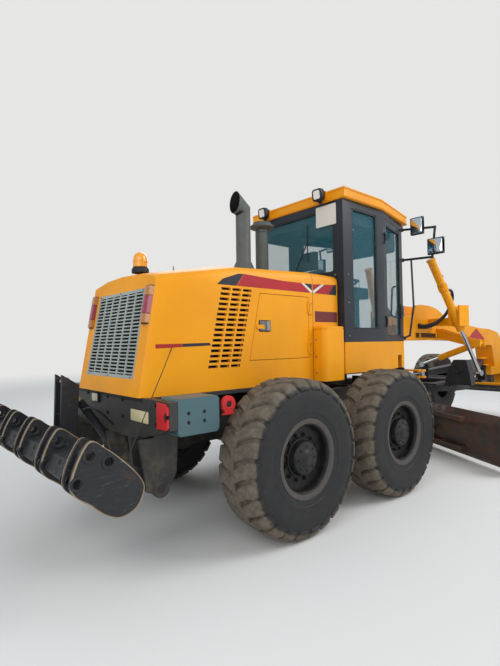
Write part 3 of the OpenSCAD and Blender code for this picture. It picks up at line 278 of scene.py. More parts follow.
RED_PAINT = enamel("red enamel", "#cf2b2e", "#bb2226", dusty=0.3)
FABRIC = plain("woven seat cover", "#23242a", 0.85, 0.0, 3, 0.6)
MIRROR = plain("mirror glass", "#c9d2da", 0.04, 1.0, 50, 0.01, vary=0.02)
BOLT = plain("zinc-plated bolt", "#8f8f8b", 0.4, 0.9, 5, 0.05)
SILVER = plain("polished latch plate", "#aeb0b0", 0.25, 0.9, 6, 0.05)
CREAM = plain("blank plate paint", "#d9cfa4", 0.5, 0.0, 8, 0.1)
PLATE_RED = plain("blank dark-red plate", "#6d2326", 0.5, 0.0, 12, 0.1)
# The flange lip's steel: real scuffs, and made lighter as well as a painted highlight.
BEAD_SCUFF_AND_HIGHLIGHT = worn_steel("bead ring, scuffed to steel", "#4a4643", "#6b5a4c", "#a3978a", 0.3, 0.55)
NUT_DARK = plain("blackened nut", "#2c2c2d", 0.5, 0.6, 6, 0.05)
LINING = plain("dark head lining", "#272c36", 0.9, 0.0, 5, 0.4)
RIM_DARK = enamel("near-black rim enamel", "#1b1c1e", "#151617", dust="#4c463d", dust_high=1.3, gloss=0.5,
                  dusty=0.5)
# Near-black for the radiator core, and painted shade behind and round the hood's louvres.
CORE_AND_SHADE_BLACK = plain("near-black radiator core, and painted shade at the louvres", "#131416", 0.8, 0.0, 10, 0.2)
# Soot inside the exhaust stack, and painted shade in the bores of the small rings on the ripper beam.
SOOT_AND_SHADE = plain("soot inside the stack", "#0d0d0e", 0.95, 0.0, 8, 0.2)
BEACON = lens("amber beacon dome", "#f2a000", 0.10)
CREAM_LENS = lens("cream lamp lens", "#cfc3a0", 0.02)
LATCH = plain("dull latch dish", "#6f7273", 0.45, 0.6, 8, 0.05)
DECAL_RED = enamel("red stripe film", "#b3242c", "#a01f27", dusty=0.2)
DECAL_DARK = enamel("dark stripe film", "#2c2f3a", "#262934", dusty=0.2)
DECAL_WHITE = enamel("white stripe film", "#dfddd5", "#d2d0c8", dusty=0.2)


# CAD PIECES

def finish_node(name, material):
    """Gives a CAD piece its material."""
    nodes[name].data.materials.clear()
    nodes[name].data.materials.append(material)


def soften(node, angle):
    """Shades a CAD node smooth up to an angle, by modifiers that leave its mesh as it is."""
    if "custom_normal" in node.data.attributes:
        node.data.attributes.remove(node.data.attributes["custom_normal"])
    node.data.shade_smooth()
    node.modifiers.new("join corners", "WELD").merge_threshold = 1e-5
    node.modifiers.new("keep edges", "EDGE_SPLIT").split_angle = math.radians(angle)


FINISHES = {
    CHARCOAL: ["rear_frame", "engine", "tandems", "front_axle", "knuckle_right", "knuckle_left", "tie_rod",
               "artic_barrel_right", "artic_barrel_left"],
    YELLOW: ["hood", "side_cabinets", "cab_base", "cab_roof", "engine_door_right", "engine_door_left",
             "front_frame",
             "lift_barrel_right", "lift_barrel_left", "shift_barrel", "steer_barrel"],
    GRILLE_GREY: ["grille"],
    GREY_GREEN: ["tool_boxes"],
    CAB_DARK: ["cab_frame", "cab_door_right", "cab_door_left", "console", "rails"],
    GLASS: ["cab_glass", "door_glass_right", "door_glass_left"],
    FABRIC: ["seat"],
    STACK: ["stacks"],
    BLACK: ["draw_link", "drawbar", "circle_ring", "blade_carrier", "ripper_barrel"],
    RIM_DARK: ["rim_rear_right", "rim_rear_left", "rim_mid_right", "rim_mid_left", "rim_front_right",
               "rim_front_left"],
    BLADE: ["moldboard"],
    RIPPER: ["ripper"],
    CHROME: ["lift_rod_right", "lift_rod_left", "shift_rod", "steer_rod", "artic_rod_right", "artic_rod_left",
             "ripper_rod"],
    AMBER: ["rear_lamps"],
    CLEAR: ["head_lamps"],
}
for material, names in FINISHES.items():
    for name in names:
        finish_node(name, material)
        soften(nodes[name], 46 if name == "hood" else 32)


# MAKING PIECES

def place_in_scene(name, data):
    """A new object with its data, linked to the scene."""
    obj = bpy.data.objects.new(name, data)
    bpy.context.scene.collection.objects.link(obj)
    return obj


def mesh_data(name, mesh, materials, smooth=None):
    """Turns a bmesh into a mesh with its materials, shaded smooth up to an angle."""
    data = bpy.data.meshes.new(name)
    bmesh.ops.recalc_face_normals(mesh, faces=mesh.faces[:])
    mesh.to_mesh(data)
    mesh.free()
    for material in materials:
        data.materials.append(material)
    if smooth is not None:
        data.shade_smooth()
        data.set_sharp_from_angle(angle=math.radians(smooth))
    return data


def piece(name, mesh, body, *materials, smooth=None):
    """Turns a bmesh, drawn from the middle of the tandem axles, into an object that rides on a body."""
    bmesh.ops.translate(mesh, vec=(-MIDDLE, 0, 0), verts=mesh.verts)
    obj = place_in_scene(name, mesh_data(name, mesh, materials, smooth))
    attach(obj, body)
    return obj


def round_edges(mesh, edges, offset, index):
    """Bevels some edges, each once and in the order given."""
    edges = list(dict.fromkeys(edges))
    done = bmesh.ops.bevel(mesh, geom=edges, offset=offset, segments=2, affect="EDGES", profile=0.7)
    for face in done["faces"]:
        face.material_index = index


def add_box(mesh, low, high, index=0, bevel=0.0):
    """Adds a box from corner to corner, its edges bevelled."""
    low, high = Vector(low), Vector(high)
    made = bmesh.ops.create_cube(mesh, size=1.0)["verts"]
    bmesh.ops.scale(mesh, vec=high - low, verts=made)
    bmesh.ops.translate(mesh, vec=(low + high) / 2, verts=made)
    for f in {f for v in made for f in v.link_faces}:
        f.material_index = index
    if bevel:
        round_edges(mesh, (e for v in made for e in v.link_edges), bevel, index)


def add_rod(mesh, a, b, r, index=0, sides=16):
    """Adds a round bar from a to b."""
    a, b = Vector(a), Vector(b)
    d = b - a
    place = Matrix.Translation((a + b) / 2) @ d.to_track_quat("Z", "Y").to_matrix().to_4x4()
    made = bmesh.ops.create_cone(mesh, cap_ends=True, segments=sides, radius1=r, radius2=r, depth=d.length,
                                 matrix=place)
    for f in {f for v in made["verts"] for f in v.link_faces}:
        f.material_index = index


def add_turned(mesh, outline, place, axis, sides=48, index=0):
    """Adds a turned form: pairs of radius and distance along an axis from a place."""
    axis = Vector(axis).normalized()
    turn = axis.to_track_quat("Z", "Y").to_matrix()
    rings = []
    for r, h in outline:
        ring = []
        for k in range(sides):
            angle = 2 * math.pi * k / sides
            ring.append(mesh.verts.new(Vector(place)
                                       + turn @ Vector((r * math.cos(angle), r * math.sin(angle), h))))
        rings.append(ring)
    for low, high in zip(rings, rings[1:]):
        for k in range(sides):
            face = mesh.faces.new((low[k], low[(k + 1) % sides], high[(k + 1) % sides], high[k]))
            face.material_index = index


def add_ring(mesh, place, axis, r_in, r_out, high, index=0, sides=28):
    """A flat ring that stands on a face."""
    outline = [(r_out, 0.0), (r_out, high * 0.7), (r_out - high * 0.3, high), (r_in + 0.001, high),
               (r_in, high * 0.8), (r_in, 0.0)]
    add_turned(mesh, outline, place, axis, sides, index)


def add_plate(mesh, outline, low, high, across="y", index=0, bevel=0.0):
    """Adds a flat plate: its outline in the two other axes, from low to high along one axis."""
    def spot(a, b, c):
        return {"x": (c, a, b), "y": (a, c, b), "z": (a, b, c)}[across]
    rings = [[mesh.verts.new(spot(a, b, c)) for a, b in outline] for c in (low, high)]
    faces = [mesh.faces.new(rings[0]), mesh.faces.new(rings[1][::-1])]
    n = len(outline)
    for k in range(n):
        faces.append(mesh.faces.new((rings[0][k], rings[1][k], rings[1][(k + 1) % n], rings[0][(k + 1) % n])))
    for face in faces:
        face.material_index = index
    if bevel:
        round_edges(mesh, (e for face in faces[:2] for e in face.edges), bevel, index)


def add_bolt(mesh, place, axis, r=0.013, index=0):
    """Adds a hexagon head on its washer, standing out along an axis."""
    place, axis = Vector(place), Vector(axis).normalized()
    add_rod(mesh, place, place + axis * 0.003, r * 1.5, index, 20)
    add_rod(mesh, place + axis * 0.003, place + axis * (0.003 + r * 0.75), r, index, 6)


def arc(centre, r, start_deg, end_deg, steps=12):
    """Points of an arc in a plane."""
    turns = [math.radians(start_deg + (end_deg - start_deg) * k / steps) for k in range(steps + 1)]
    return [(centre[0] + r * math.cos(t), centre[1] + r * math.sin(t)) for t in turns]


def rounded_box(low, high, r, steps=5):
    """Outline of a box with rounded corners."""
    (a, b), (c, d) = low, high
    return (arc((c - r, d - r), r, 0, 90, steps) + arc((a + r, d - r), r, 90, 180, steps)
            + arc((a + r, b + r), r, 180, 270, steps) + arc((c - r, b + r), r, 270, 360, steps))


def tube(name, points, r, body, material):
    """A round tube or hose along a smooth line through points."""
    curve = bpy.data.curves.new(name, "CURVE")
    curve.dimensions = "3D"
    curve.bevel_depth = r
    curve.bevel_resolution = 4
    curve.resolution_u = 8
    curve.use_fill_caps = True
    line = curve.splines.new("BEZIER")
    line.bezier_points.add(len(points) - 1)
    for spot, knot in zip(points, line.bezier_points):
        knot.co = at(*spot)
        knot.handle_left_type = knot.handle_right_type = "AUTO"
    obj = place_in_scene(name, curve)
    curve.materials.append(material)
    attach(obj, body)
    return obj


def bend_across(line):
    name = line.name
    mesh = bpy.data.meshes.new_from_object(line.evaluated_get(bpy.context.evaluated_depsgraph_get()))
    bpy.data.objects.remove(line)
    obj = place_in_scene(name, mesh)
    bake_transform(obj)


# TYRES

TYRE_R = 0.674
TYRE_W = 0.445
BEAD_R = 0.3175
WHEEL_Y = 1.3125 - TYRE_W / 2
LUGS = 26
CASING_R = TYRE_R - 0.036

# Section of the casing: radius and distance from the middle.
CASING = [
    (BEAD_R + 0.002, 0.172), (BEAD_R + 0.012, 0.190), (BEAD_R + 0.030, 0.196), (0.385, 0.200), (0.392, 0.206),
    (0.400, 0.204), (0.460, 0.219), (0.520, 0.2215), (0.565, 0.217), (0.600, 0.204), (0.622, 0.186),
    (CASING_R - 0.004, 0.160),
    (CASING_R, 0.120), (CASING_R + 0.001, 0.060), (CASING_R + 0.001, 0.0),
]

# The outer surface of a lug across the tread: distance from the middle, radius, and how far it runs ahead.
LUG_LINE = [
    (-0.022, TYRE_R, 0.000), (0.030, TYRE_R, 0.020), (0.085, TYRE_R - 0.001, 0.052),
    (0.135, TYRE_R - 0.004, 0.078),
    (0.168, TYRE_R - 0.010, 0.086), (0.196, TYRE_R - 0.026, 0.088), (0.213, TYRE_R - 0.056, 0.088),
    (0.2215, TYRE_R - 0.086, 0.088),
]
LUG_HALF = [0.050, 0.054, 0.058, 0.060, 0.061, 0.061, 0.060, 0.056]


def add_lug(mesh, angle, hand):
    """One tread lug, from past the middle to the shoulder and down the sidewall."""
    outer, inner = [], []
    for (across, radius, run), half in zip(LUG_LINE, LUG_HALF):
        base = radius - 0.040 if across < 0.19 else radius - 0.016
        low = across if across < 0.19 else across - 0.020
        top_row, low_row = [], []
        for k, share in enumerate((-1.0, -0.86, 0.86, 1.0)):
            edge = abs(share) == 1.0
            jag = 0.004 * math.sin(37.0 * angle + 5 * k + 60 * across)
            turn = angle + (run + share * half + jag) / TYRE_R
            r = radius - (0.007 if edge else 0.0)
            top_row.append(mesh.verts.new((r * math.cos(turn), hand * across, r * math.sin(turn))))
            if edge:
                wide = angle + (run + share * (half + 0.010)) / TYRE_R
                low_row.append(mesh.verts.new((base * math.cos(wide), hand * low, base * math.sin(wide))))
        outer.append(top_row)
        inner.append(low_row)
    for a, b, c, d in zip(outer, outer[1:], inner, inner[1:]):
        for k in range(3):
            mesh.faces.new((a[k], a[k + 1], b[k + 1], b[k]))
        mesh.faces.new((c[0], a[0], b[0], d[0]))
        mesh.faces.new((a[3], c[1], d[1], b[3]))
    for row, low in ((outer[0], inner[0]), (outer[-1], inner[-1])):
        mesh.faces.new((low[0], row[0], row[1], row[2], row[3], low[1]))


def tyre_mesh(phase):
    """The whole tyre about its own middle, turned by a phase."""
    mesh = bmesh.new()
    half = [(r, y) for r, y in CASING]
    outline = half + [(r, -y) for r, y in reversed(half[:-1])]
    add_turned(mesh, outline, (0, 0, 0), (0, 1, 0), 104)
    for hand in (-1, 1):
        for k in range(LUGS):
            add_lug(mesh, 2 * math.pi * (k + phase + (0.5 if hand > 0 else 0.0)) / LUGS, hand)
    return mesh_data("tyre", mesh, (RUBBER,), 34)


WHEELS = [(place, hand, x) for place,
          x in (("rear", -0.769), ("mid", 0.769), ("front", 6.219)) for hand in ("right", "left")]
TYRES = {place: tyre_mesh(phase) for place, phase in (("rear", 0.10), ("mid", 0.62), ("front", 0.35))}


def on_wheel(name, data, place, hand, x):
    """Puts a mesh, drawn about a wheel's middle with its outside towards +Y, on one wheel."""
    way = -1 if hand == "right" else 1
    obj = place_in_scene(f"{name}_{place}_{hand}", data)
    obj.location = at(x, way * WHEEL_Y, TYRE_R)
    obj.rotation_euler = (0, 0, 0 if way > 0 else math.pi)
    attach(obj, f"wheel_{place}_{hand}")
    return obj


for place, hand, x in WHEELS:
    tyre = on_wheel("tyre_tread", TYRES[place], place, hand, x)
    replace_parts(tyre, f"tyre_{place}_{hand}")


# HOOD

SIDE = 0.6603
LEAN = math.atan2(0.165, 0.921)
FACE = Matrix.Translation((-1.985, 0, 1.240)) @ Matrix.Rotation(LEAN, 4, "Y")
HANDS = (("right", -1), ("left", 1))

# Films on the hood's sides: material, then their corners along and up.
FILMS = [
    (1, [(-1.235, 2.182), (-1.015, 2.184), (-0.925, 2.300), (-0.99, 2.296), (-1.17, 2.236)]),
    (0, [(-1.010, 2.184), (0.030, 2.182), (0.030, 2.277), (-0.40, 2.277), (-0.920, 2.300)]),
    (0, [(0.050, 2.182), (0.300, 2.181), (0.405, 2.295), (0.050, 2.278)]),
    (1, [(0.303, 2.181), (0.448, 2.181), (0.448, 2.298), (0.408, 2.296)]),
    (0, [(-1.850, 1.624), (-1.600, 1.632), (-1.600, 1.659), (-1.850, 1.657)]),
    (1, [(-1.598, 1.632), (-1.310, 1.640), (-1.325, 1.664), (-1.598, 1.659)]),
    (3, [(0.075, 1.874), (0.455, 1.874), (0.455, 1.989), (0.075, 1.989)]),
]
UPPER_FILMS = [
    (2, [(-0.135, 2.277), (-0.092, 2.277), (0.030, 2.207), (0.030, 2.182), (0.014, 2.182)]),
    (1, [(-0.088, 2.277), (0.030, 2.277), (0.030, 2.210)]),
    (2, [(0.050, 2.182), (0.066, 2.182), (0.240, 2.286), (0.190, 2.284), (0.050, 2.207)]),
]


def wall(hand, low, high):
    """Distances from the middle on one side, in rising order."""
    return (low, high) if hand > 0 else (-high, -low)


def films():
    """Blank stripes in red, white and dark film, and the blank dark-red plate, on both sides."""
    mesh = bmesh.new()
    for hand in (-1, 1):
        for index, outline in FILMS:
            add_plate(mesh, outline, *wall(hand, SIDE, SIDE + 0.0010), "y", index)
        for index, outline in UPPER_FILMS:
            add_plate(mesh, outline, *wall(hand, SIDE + 0.0012, SIDE + 0.0018), "y", index)
    piece("hood_films", mesh, "rear", DECAL_RED, DECAL_DARK, DECAL_WHITE, PLATE_RED)


HOOD_LINE = [(-1.76, 2.235), (-0.96, 2.370), (0.04, 2.412), (0.47, 2.405)]


def hood_profile(x, out=0.0):
    """The hood's cross-section at a place, from its lower right edge over the crown to the left."""
    for (a, low), (b, high) in zip(HOOD_LINE, HOOD_LINE[1:]):
        if a <= x <= b:
            top = low + (high - low) * (x - a) / (b - a)
    half, r = 0.660 + out, 0.080
    crown = 0.050 if x < -0.96 else 0.060
    up = top + out
    rim = [(-half, 1.245)] + [(-half + r - r * math.cos(t), up - r + r * math.sin(t))
                              for t in [math.radians(a) for a in (0, 30, 60, 90)]]
    middle = [(k * half, up + crown * (1 - k * k)) for k in (-0.5, 0, 0.5)]
    return rim + middle + [(-y, z) for y, z in reversed(rim)]


def hood_band(mesh, x, wide, out, index=0):
    """A thin band round the hood at a place."""
    rows = [[mesh.verts.new((a, y, z)) for y, z in hood_profile(a, out)]
            for a in (x - wide / 2, x + wide / 2)]
    for k in range(len(rows[0]) - 1):
        mesh.faces.new((rows[0][k], rows[0][k + 1], rows[1][k + 1], rows[1][k])).material_index = index


# The louvres: rows of slots, a slot's size, and how wide the rim of painted shade is at each column's two
# ends.
LOUVRE_ROWS = 16
LOUVRE_WIDE = 0.088
LOUVRE_HIGH = 0.018
LOUVRE_LEAN = ((0.014, 0.002), (0.006, 0.006), (0.002, 0.014))


def louvre_shade_rims(mesh, hand):
    """Thin dark rims of painted shade round the slots on one side of the hood."""
    for i in range(LOUVRE_ROWS):
        for j, (rear, front) in enumerate(LOUVRE_LEAN):
            x = -1.172 - 0.154 * i / (LOUVRE_ROWS - 1) + 0.120 * j
            z = 2.139 - 0.0463 * i
            end, top = x + LOUVRE_WIDE, z + LOUVRE_HIGH + 0.003
            for (a, b), (c, d) in (((x - rear, z - 0.003), (x, top)), ((end, z - 0.003), (end + front, top)),
                                   ((x, z - 0.003), (end, z)), ((x, z + LOUVRE_HIGH), (end, top))):
                add_plate(mesh, [(a, b), (c, b), (c, d), (a, d)], *wall(hand, SIDE, SIDE + 0.0006), "y", 3)


def hood_trim():
    """Panel seam, hinge straps, rivets, louvre rims of painted shade, a dark sheet of painted shade behind
    the louvres, and the radiator's dark core.
    """
    mesh = bmesh.new()
    hood_band(mesh, 0.040, 0.005, 0.0006, 1)
    for hand in (-1, 1):
        for z in (1.600, 2.020):
            add_plate(mesh, rounded_box((-0.012, z - 0.075), (0.028, z + 0.075), 0.008),
                      *wall(hand, SIDE, SIDE + 0.004), "y", 0, 0.001)
            for dz in (-0.05, 0.05):
                add_bolt(mesh, (0.010, hand * (SIDE + 0.004), z + dz), (0, hand, 0), 0.006, 2)
        for z in (1.300, 1.420):
            add_bolt(mesh, (0.425, hand * SIDE, z), (0, hand, 0), 0.009, 2)
        # a dark sheet of painted shade inside the hood, behind the louvres
        add_plate(mesh, [(-1.40, 1.38), (-0.78, 1.38), (-0.78, 2.20), (-1.40, 2.20)],
                  *wall(hand, 0.590, 0.594), "y", 3)
    add_rod(mesh, (-1.275, 0.0, 2.385), (-1.275, 0.0, 2.428), 0.007, 2, 12)
    for hand in (-1, 1):
        louvre_shade_rims(mesh, hand)
    piece("hood_trim", mesh, "rear", YELLOW, BLACK_TRIM_AND_SHADE, BOLT, CORE_AND_SHADE_BLACK)
    mesh = bmesh.new()
    add_box(mesh, (0.050, -0.50, 0.13), (0.054, 0.50, 0.93), 0)
    bmesh.ops.transform(mesh, matrix=FACE, verts=mesh.verts)
    piece("radiator_core", mesh, "rear", CORE_AND_SHADE_BLACK)


def grille():
    """The grille's rows of slots in six columns, as rails and posts with rounded edges."""
    mesh = bmesh.new()
    low, high, rows, columns = 0.139, 0.905, 24, 6

    def half(z):
        """Half of the grille's width, which narrows towards its top."""
        return 0.490 + (0.461 - 0.490) * (z - low) / (high - low)
    step = (high - low - 0.030) / rows
    for i in range(rows + 1):
        z = low + 0.015 + i * step
        deep = 0.015 if i in (0, rows) else 0.0064
        add_plate(mesh, [(-half(z), z - deep), (half(z), z - deep), (half(z), z + deep),
                         (-half(z), z + deep)], 0.000, 0.010, "x", 0, 0.0015)
    for j in range(columns + 1):
        share = (j - columns / 2) / (columns / 2)
        ends = [(share * (half(z) - 0.012), z) for z in (low, high)]
        wide = 0.013 if abs(share) == 1 else 0.011
        add_plate(mesh, [(ends[0][0] - wide, low), (ends[0][0] + wide, low), (ends[1][0] + wide, high),
                         (ends[1][0] - wide, high)],
                  -0.001, 0.011, "x", 0, 0.0015)
    for z in (0.153, 0.891):
        for y in (-0.43, 0.0, 0.43):
            add_bolt(mesh, (-0.001, y, z), (-1, 0, 0), 0.005, 1)
    bmesh.ops.transform(mesh, matrix=FACE, verts=mesh.verts)
    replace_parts(piece("grille_slats", mesh, "rear", GRILLE_GREY, BOLT, smooth=40), "grille")


def lens_stack(mesh, hand):
    """One tail lamp: a housing that wraps the corner, with amber, red and amber lenses."""
    parts = [(0.597, 0.672, 0), (0.675, 0.822, 1), (0.825, 0.903, 0)]
    outline = [(-0.004, 0.512), (-0.034, 0.520), (-0.038, 0.565), (-0.026, 0.596), (0.026, 0.624),
               (0.036, 0.614), (-0.001, 0.575)]
    turned = [(a, hand * b) for a, b in outline]
    add_plate(mesh, [(a * 0.8 + 0.004, b) for a, b in turned], 0.590, 0.910, "z", 2, 0.002)
    for low, high, index in parts:
        add_plate(mesh, turned, low, high, "z", index, 0.003)


def work_lamp(mesh, place, aim, half=0.085, deep=0.09):
    """A square work lamp with a black housing and a fluted lens."""
    lamp = bmesh.new()
    add_plate(lamp, rounded_box((-half, -half), (half, half), 0.030), 0.0, deep * 0.55, "x", 2, 0.004)
    add_plate(lamp, rounded_box((-half * 0.8, -half * 0.8), (half * 0.8, half * 0.8), 0.030), -deep * 0.45,
              0.004, "x", 2, 0.010)
    add_plate(lamp, rounded_box((-half * 0.66, -half * 0.72), (half * 0.66, half * 0.72), 0.016), deep * 0.55,
              deep * 0.60, "x", 3, 0.002)
    add_box(lamp, (-0.02, -0.012, -half - 0.03), (0.02, 0.012, -half + 0.01), 2, 0.003)
    turn = Vector(aim).to_track_quat("X", "Z").to_matrix().to_4x4()
    bmesh.ops.transform(lamp, matrix=Matrix.Translation(place) @ turn, verts=lamp.verts)
    join(mesh, lamp)


def join(mesh, other):
    """Moves another bmesh's faces into this one."""
    data = bpy.data.meshes.new("part")
    other.to_mesh(data)
    other.free()
    mesh.from_mesh(data)
    bpy.data.meshes.remove(data)


def rear_lamps():
    """Tail lamps on the rear face, work lamps under the roof and the beacon."""
    mesh = bmesh.new()
    for hand in (-1, 1):
        lens_stack(mesh, hand)
    bmesh.ops.transform(mesh, matrix=FACE, verts=mesh.verts)
    for hand in (-1, 1):
        work_lamp(mesh, (0.420, hand * 0.469, 3.368), (-1, 0, -0.12), 0.068, 0.10)
    base = (-1.680, -0.090, 2.310)
    add_turned(mesh, [(0.0, 0.0), (0.078, 0.0), (0.078, 0.030), (0.070, 0.048), (0.060, 0.055), (0.0, 0.055)],
               base, (0, 0, 1), 40, 2)
    dome = [(0.066, 0.055), (0.066, 0.110), (0.064, 0.135), (0.056, 0.160), (0.042, 0.178), (0.024, 0.189),
            (0.0, 0.193)]
    add_turned(mesh, dome, base, (0, 0, 1), 40, 4)
    add_turned(mesh, [(0.068, 0.100), (0.0695, 0.104), (0.068, 0.108)], base, (0, 0, 1), 40, 4)
    lamp = piece("rear_lamp_set", mesh, "rear", AMBER, RED, BLACK_TRIM_AND_SHADE, CLEAR, BEACON, smooth=40)
    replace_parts(lamp, "rear_lamps")


def stack_pipes():
    """Exhaust stack, mitred to the rear with an open mouth, and the air cleaner's pipe with its cap."""
    mesh = bmesh.new()
    x, r, sides = -0.360, 0.083, 48
    steps = [2 * math.pi * k / sides for k in range(sides)]

    def level(radius, z, tilt=0.0):
        """A ring round the pipe, its front edge raised by a tilt."""
        return [mesh.verts.new((x + radius * math.cos(t), radius * math.sin(t), z + tilt * math.cos(t)))
                for t in steps]

    def mouth(radius, tall):
        """The open end's oval, which looks to the rear."""
        return [mesh.verts.new((x - 0.118 + 0.012 * math.cos(t), (radius + 0.008) * math.sin(t),
                                3.226 + tall * math.cos(t)))
                for t in steps]
    inside = r - 0.006
    rings = [level(*place)
             for place in ((0.136, 2.463), (0.136, 2.470), (0.131, 2.473), (0.086, 2.572), (r, 2.578))]
    rings += [level(r, 3.150, 0.055), mouth(r, 0.126), mouth(inside, 0.120), level(inside, 3.140, 0.055),
              level(inside, 2.900)]
    for number, (low, high) in enumerate(zip(rings, rings[1:])):
        for k in range(sides):
            face = mesh.faces.new((low[k], low[(k + 1) % sides], high[(k + 1) % sides], high[k]))
            face.material_index = 1 if number >= 7 else 0
    mesh.faces.new(rings[-1]).material_index = 1
    foot = (-0.070, 0.0, 2.462)
    outline = [(0.070, 0.0), (0.070, 0.478), (0.078, 0.482), (0.078, 0.508), (0.070, 0.514), (0.082, 0.524),
               (0.130, 0.528),
               (0.142, 0.534), (0.146, 0.542), (0.144, 0.552), (0.110, 0.578), (0.104, 0.596), (0.060, 0.606),
               (0.0, 0.608)]
    add_turned(mesh, outline, foot, (0, 0, 1), 48, 0)
    pipes = piece("stack_pipes", mesh, "rear", STACK, SOOT_AND_SHADE, BOLT, smooth=35)
    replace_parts(pipes, "stacks")


def cabinets():
    """Side cabinets with rounded outer corners, a lid seam and bolts."""
    mesh = bmesh.new()
    for hand in (-1, 1):
        outline = ([(0.045, 0.6605)] + arc((0.105, 0.760), 0.060, 180, 90, 8)
                   + arc((0.340, 0.760), 0.060, 90, 0, 8) + [(0.400, 0.6605)])
        outline = [(a, hand * b) for a, b in outline]
        add_plate(mesh, outline, 1.240, 1.790, "z", 0, 0.004)
        lid = [(0.222 + (a - 0.222) * 0.985, hand * (0.6605 + (abs(b) - 0.6605) * 0.985)) for a, b in outline]
        add_plate(mesh, lid, 1.7905, 1.822, "z", 0, 0.010)
        for z in (1.33, 1.50, 1.68):
            add_bolt(mesh, (0.0445, hand * 0.700, z), (-1, 0, 0), 0.006, 1)
    boxes = piece("cabinet_shells", mesh, "rear", YELLOW, BOLT, smooth=40)
    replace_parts(boxes, "side_cabinets")


def latches():
    """The engine doors' paddle latches: a dark plate of painted shade for the recess, a dull dish and a
    bright paddle.
    """
    for side, hand in HANDS:
        mesh = bmesh.new()
        # dark plate: painted shade of the latch's recess
        add_plate(mesh, rounded_box((-0.742, 1.764), (-0.592, 1.874), 0.010), *wall(hand, SIDE, SIDE + 0.005),
                  "y", 0, 0.0015)
        add_plate(mesh, rounded_box((-0.732, 1.774), (-0.650, 1.864), 0.006),
                  *wall(hand, SIDE + 0.005, SIDE + 0.007), "y", 1, 0.0008)
        add_plate(mesh, rounded_box((-0.644, 1.774), (-0.602, 1.864), 0.006),
                  *wall(hand, SIDE + 0.005, SIDE + 0.012), "y", 2, 0.002)
        for z in (1.784, 1.854):
            add_rod(mesh, (-0.691, hand * (SIDE + 0.007), z), (-0.691, hand * (SIDE + 0.009), z), 0.006, 2,
                    16)
        piece(f"door_latch_{side}", mesh, f"engine_door_{side}", BLACK_TRIM_AND_SHADE, LATCH, SILVER)


films()
hood_trim()
grille()
rear_lamps()
stack_pipes()
cabinets()
latches()


# CAB

CAB_HALF, CAB_NOSE, KINK, CAB_FRONT, CAB_BACK = 0.740, 0.530, 1.310, 2.110, 0.490
SLANT = math.atan2(CAB_HALF - CAB_NOSE, CAB_FRONT - KINK)


def window_seal(mesh, low, high, place, across, wide=0.018, index=0):
    """A rubber section round a window: its opening, its two faces along an axis."""
    (a, b), (c, d) = low, high
    outer = rounded_box(low, high, 0.045, 4)
    inner = rounded_box((a + wide, b + wide), (c - wide, d - wide), 0.030, 4)
    for k in range(len(outer)):
        n = (k + 1) % len(outer)
        add_plate(mesh, [outer[k], outer[n], inner[n], inner[k]], *place, across, index)


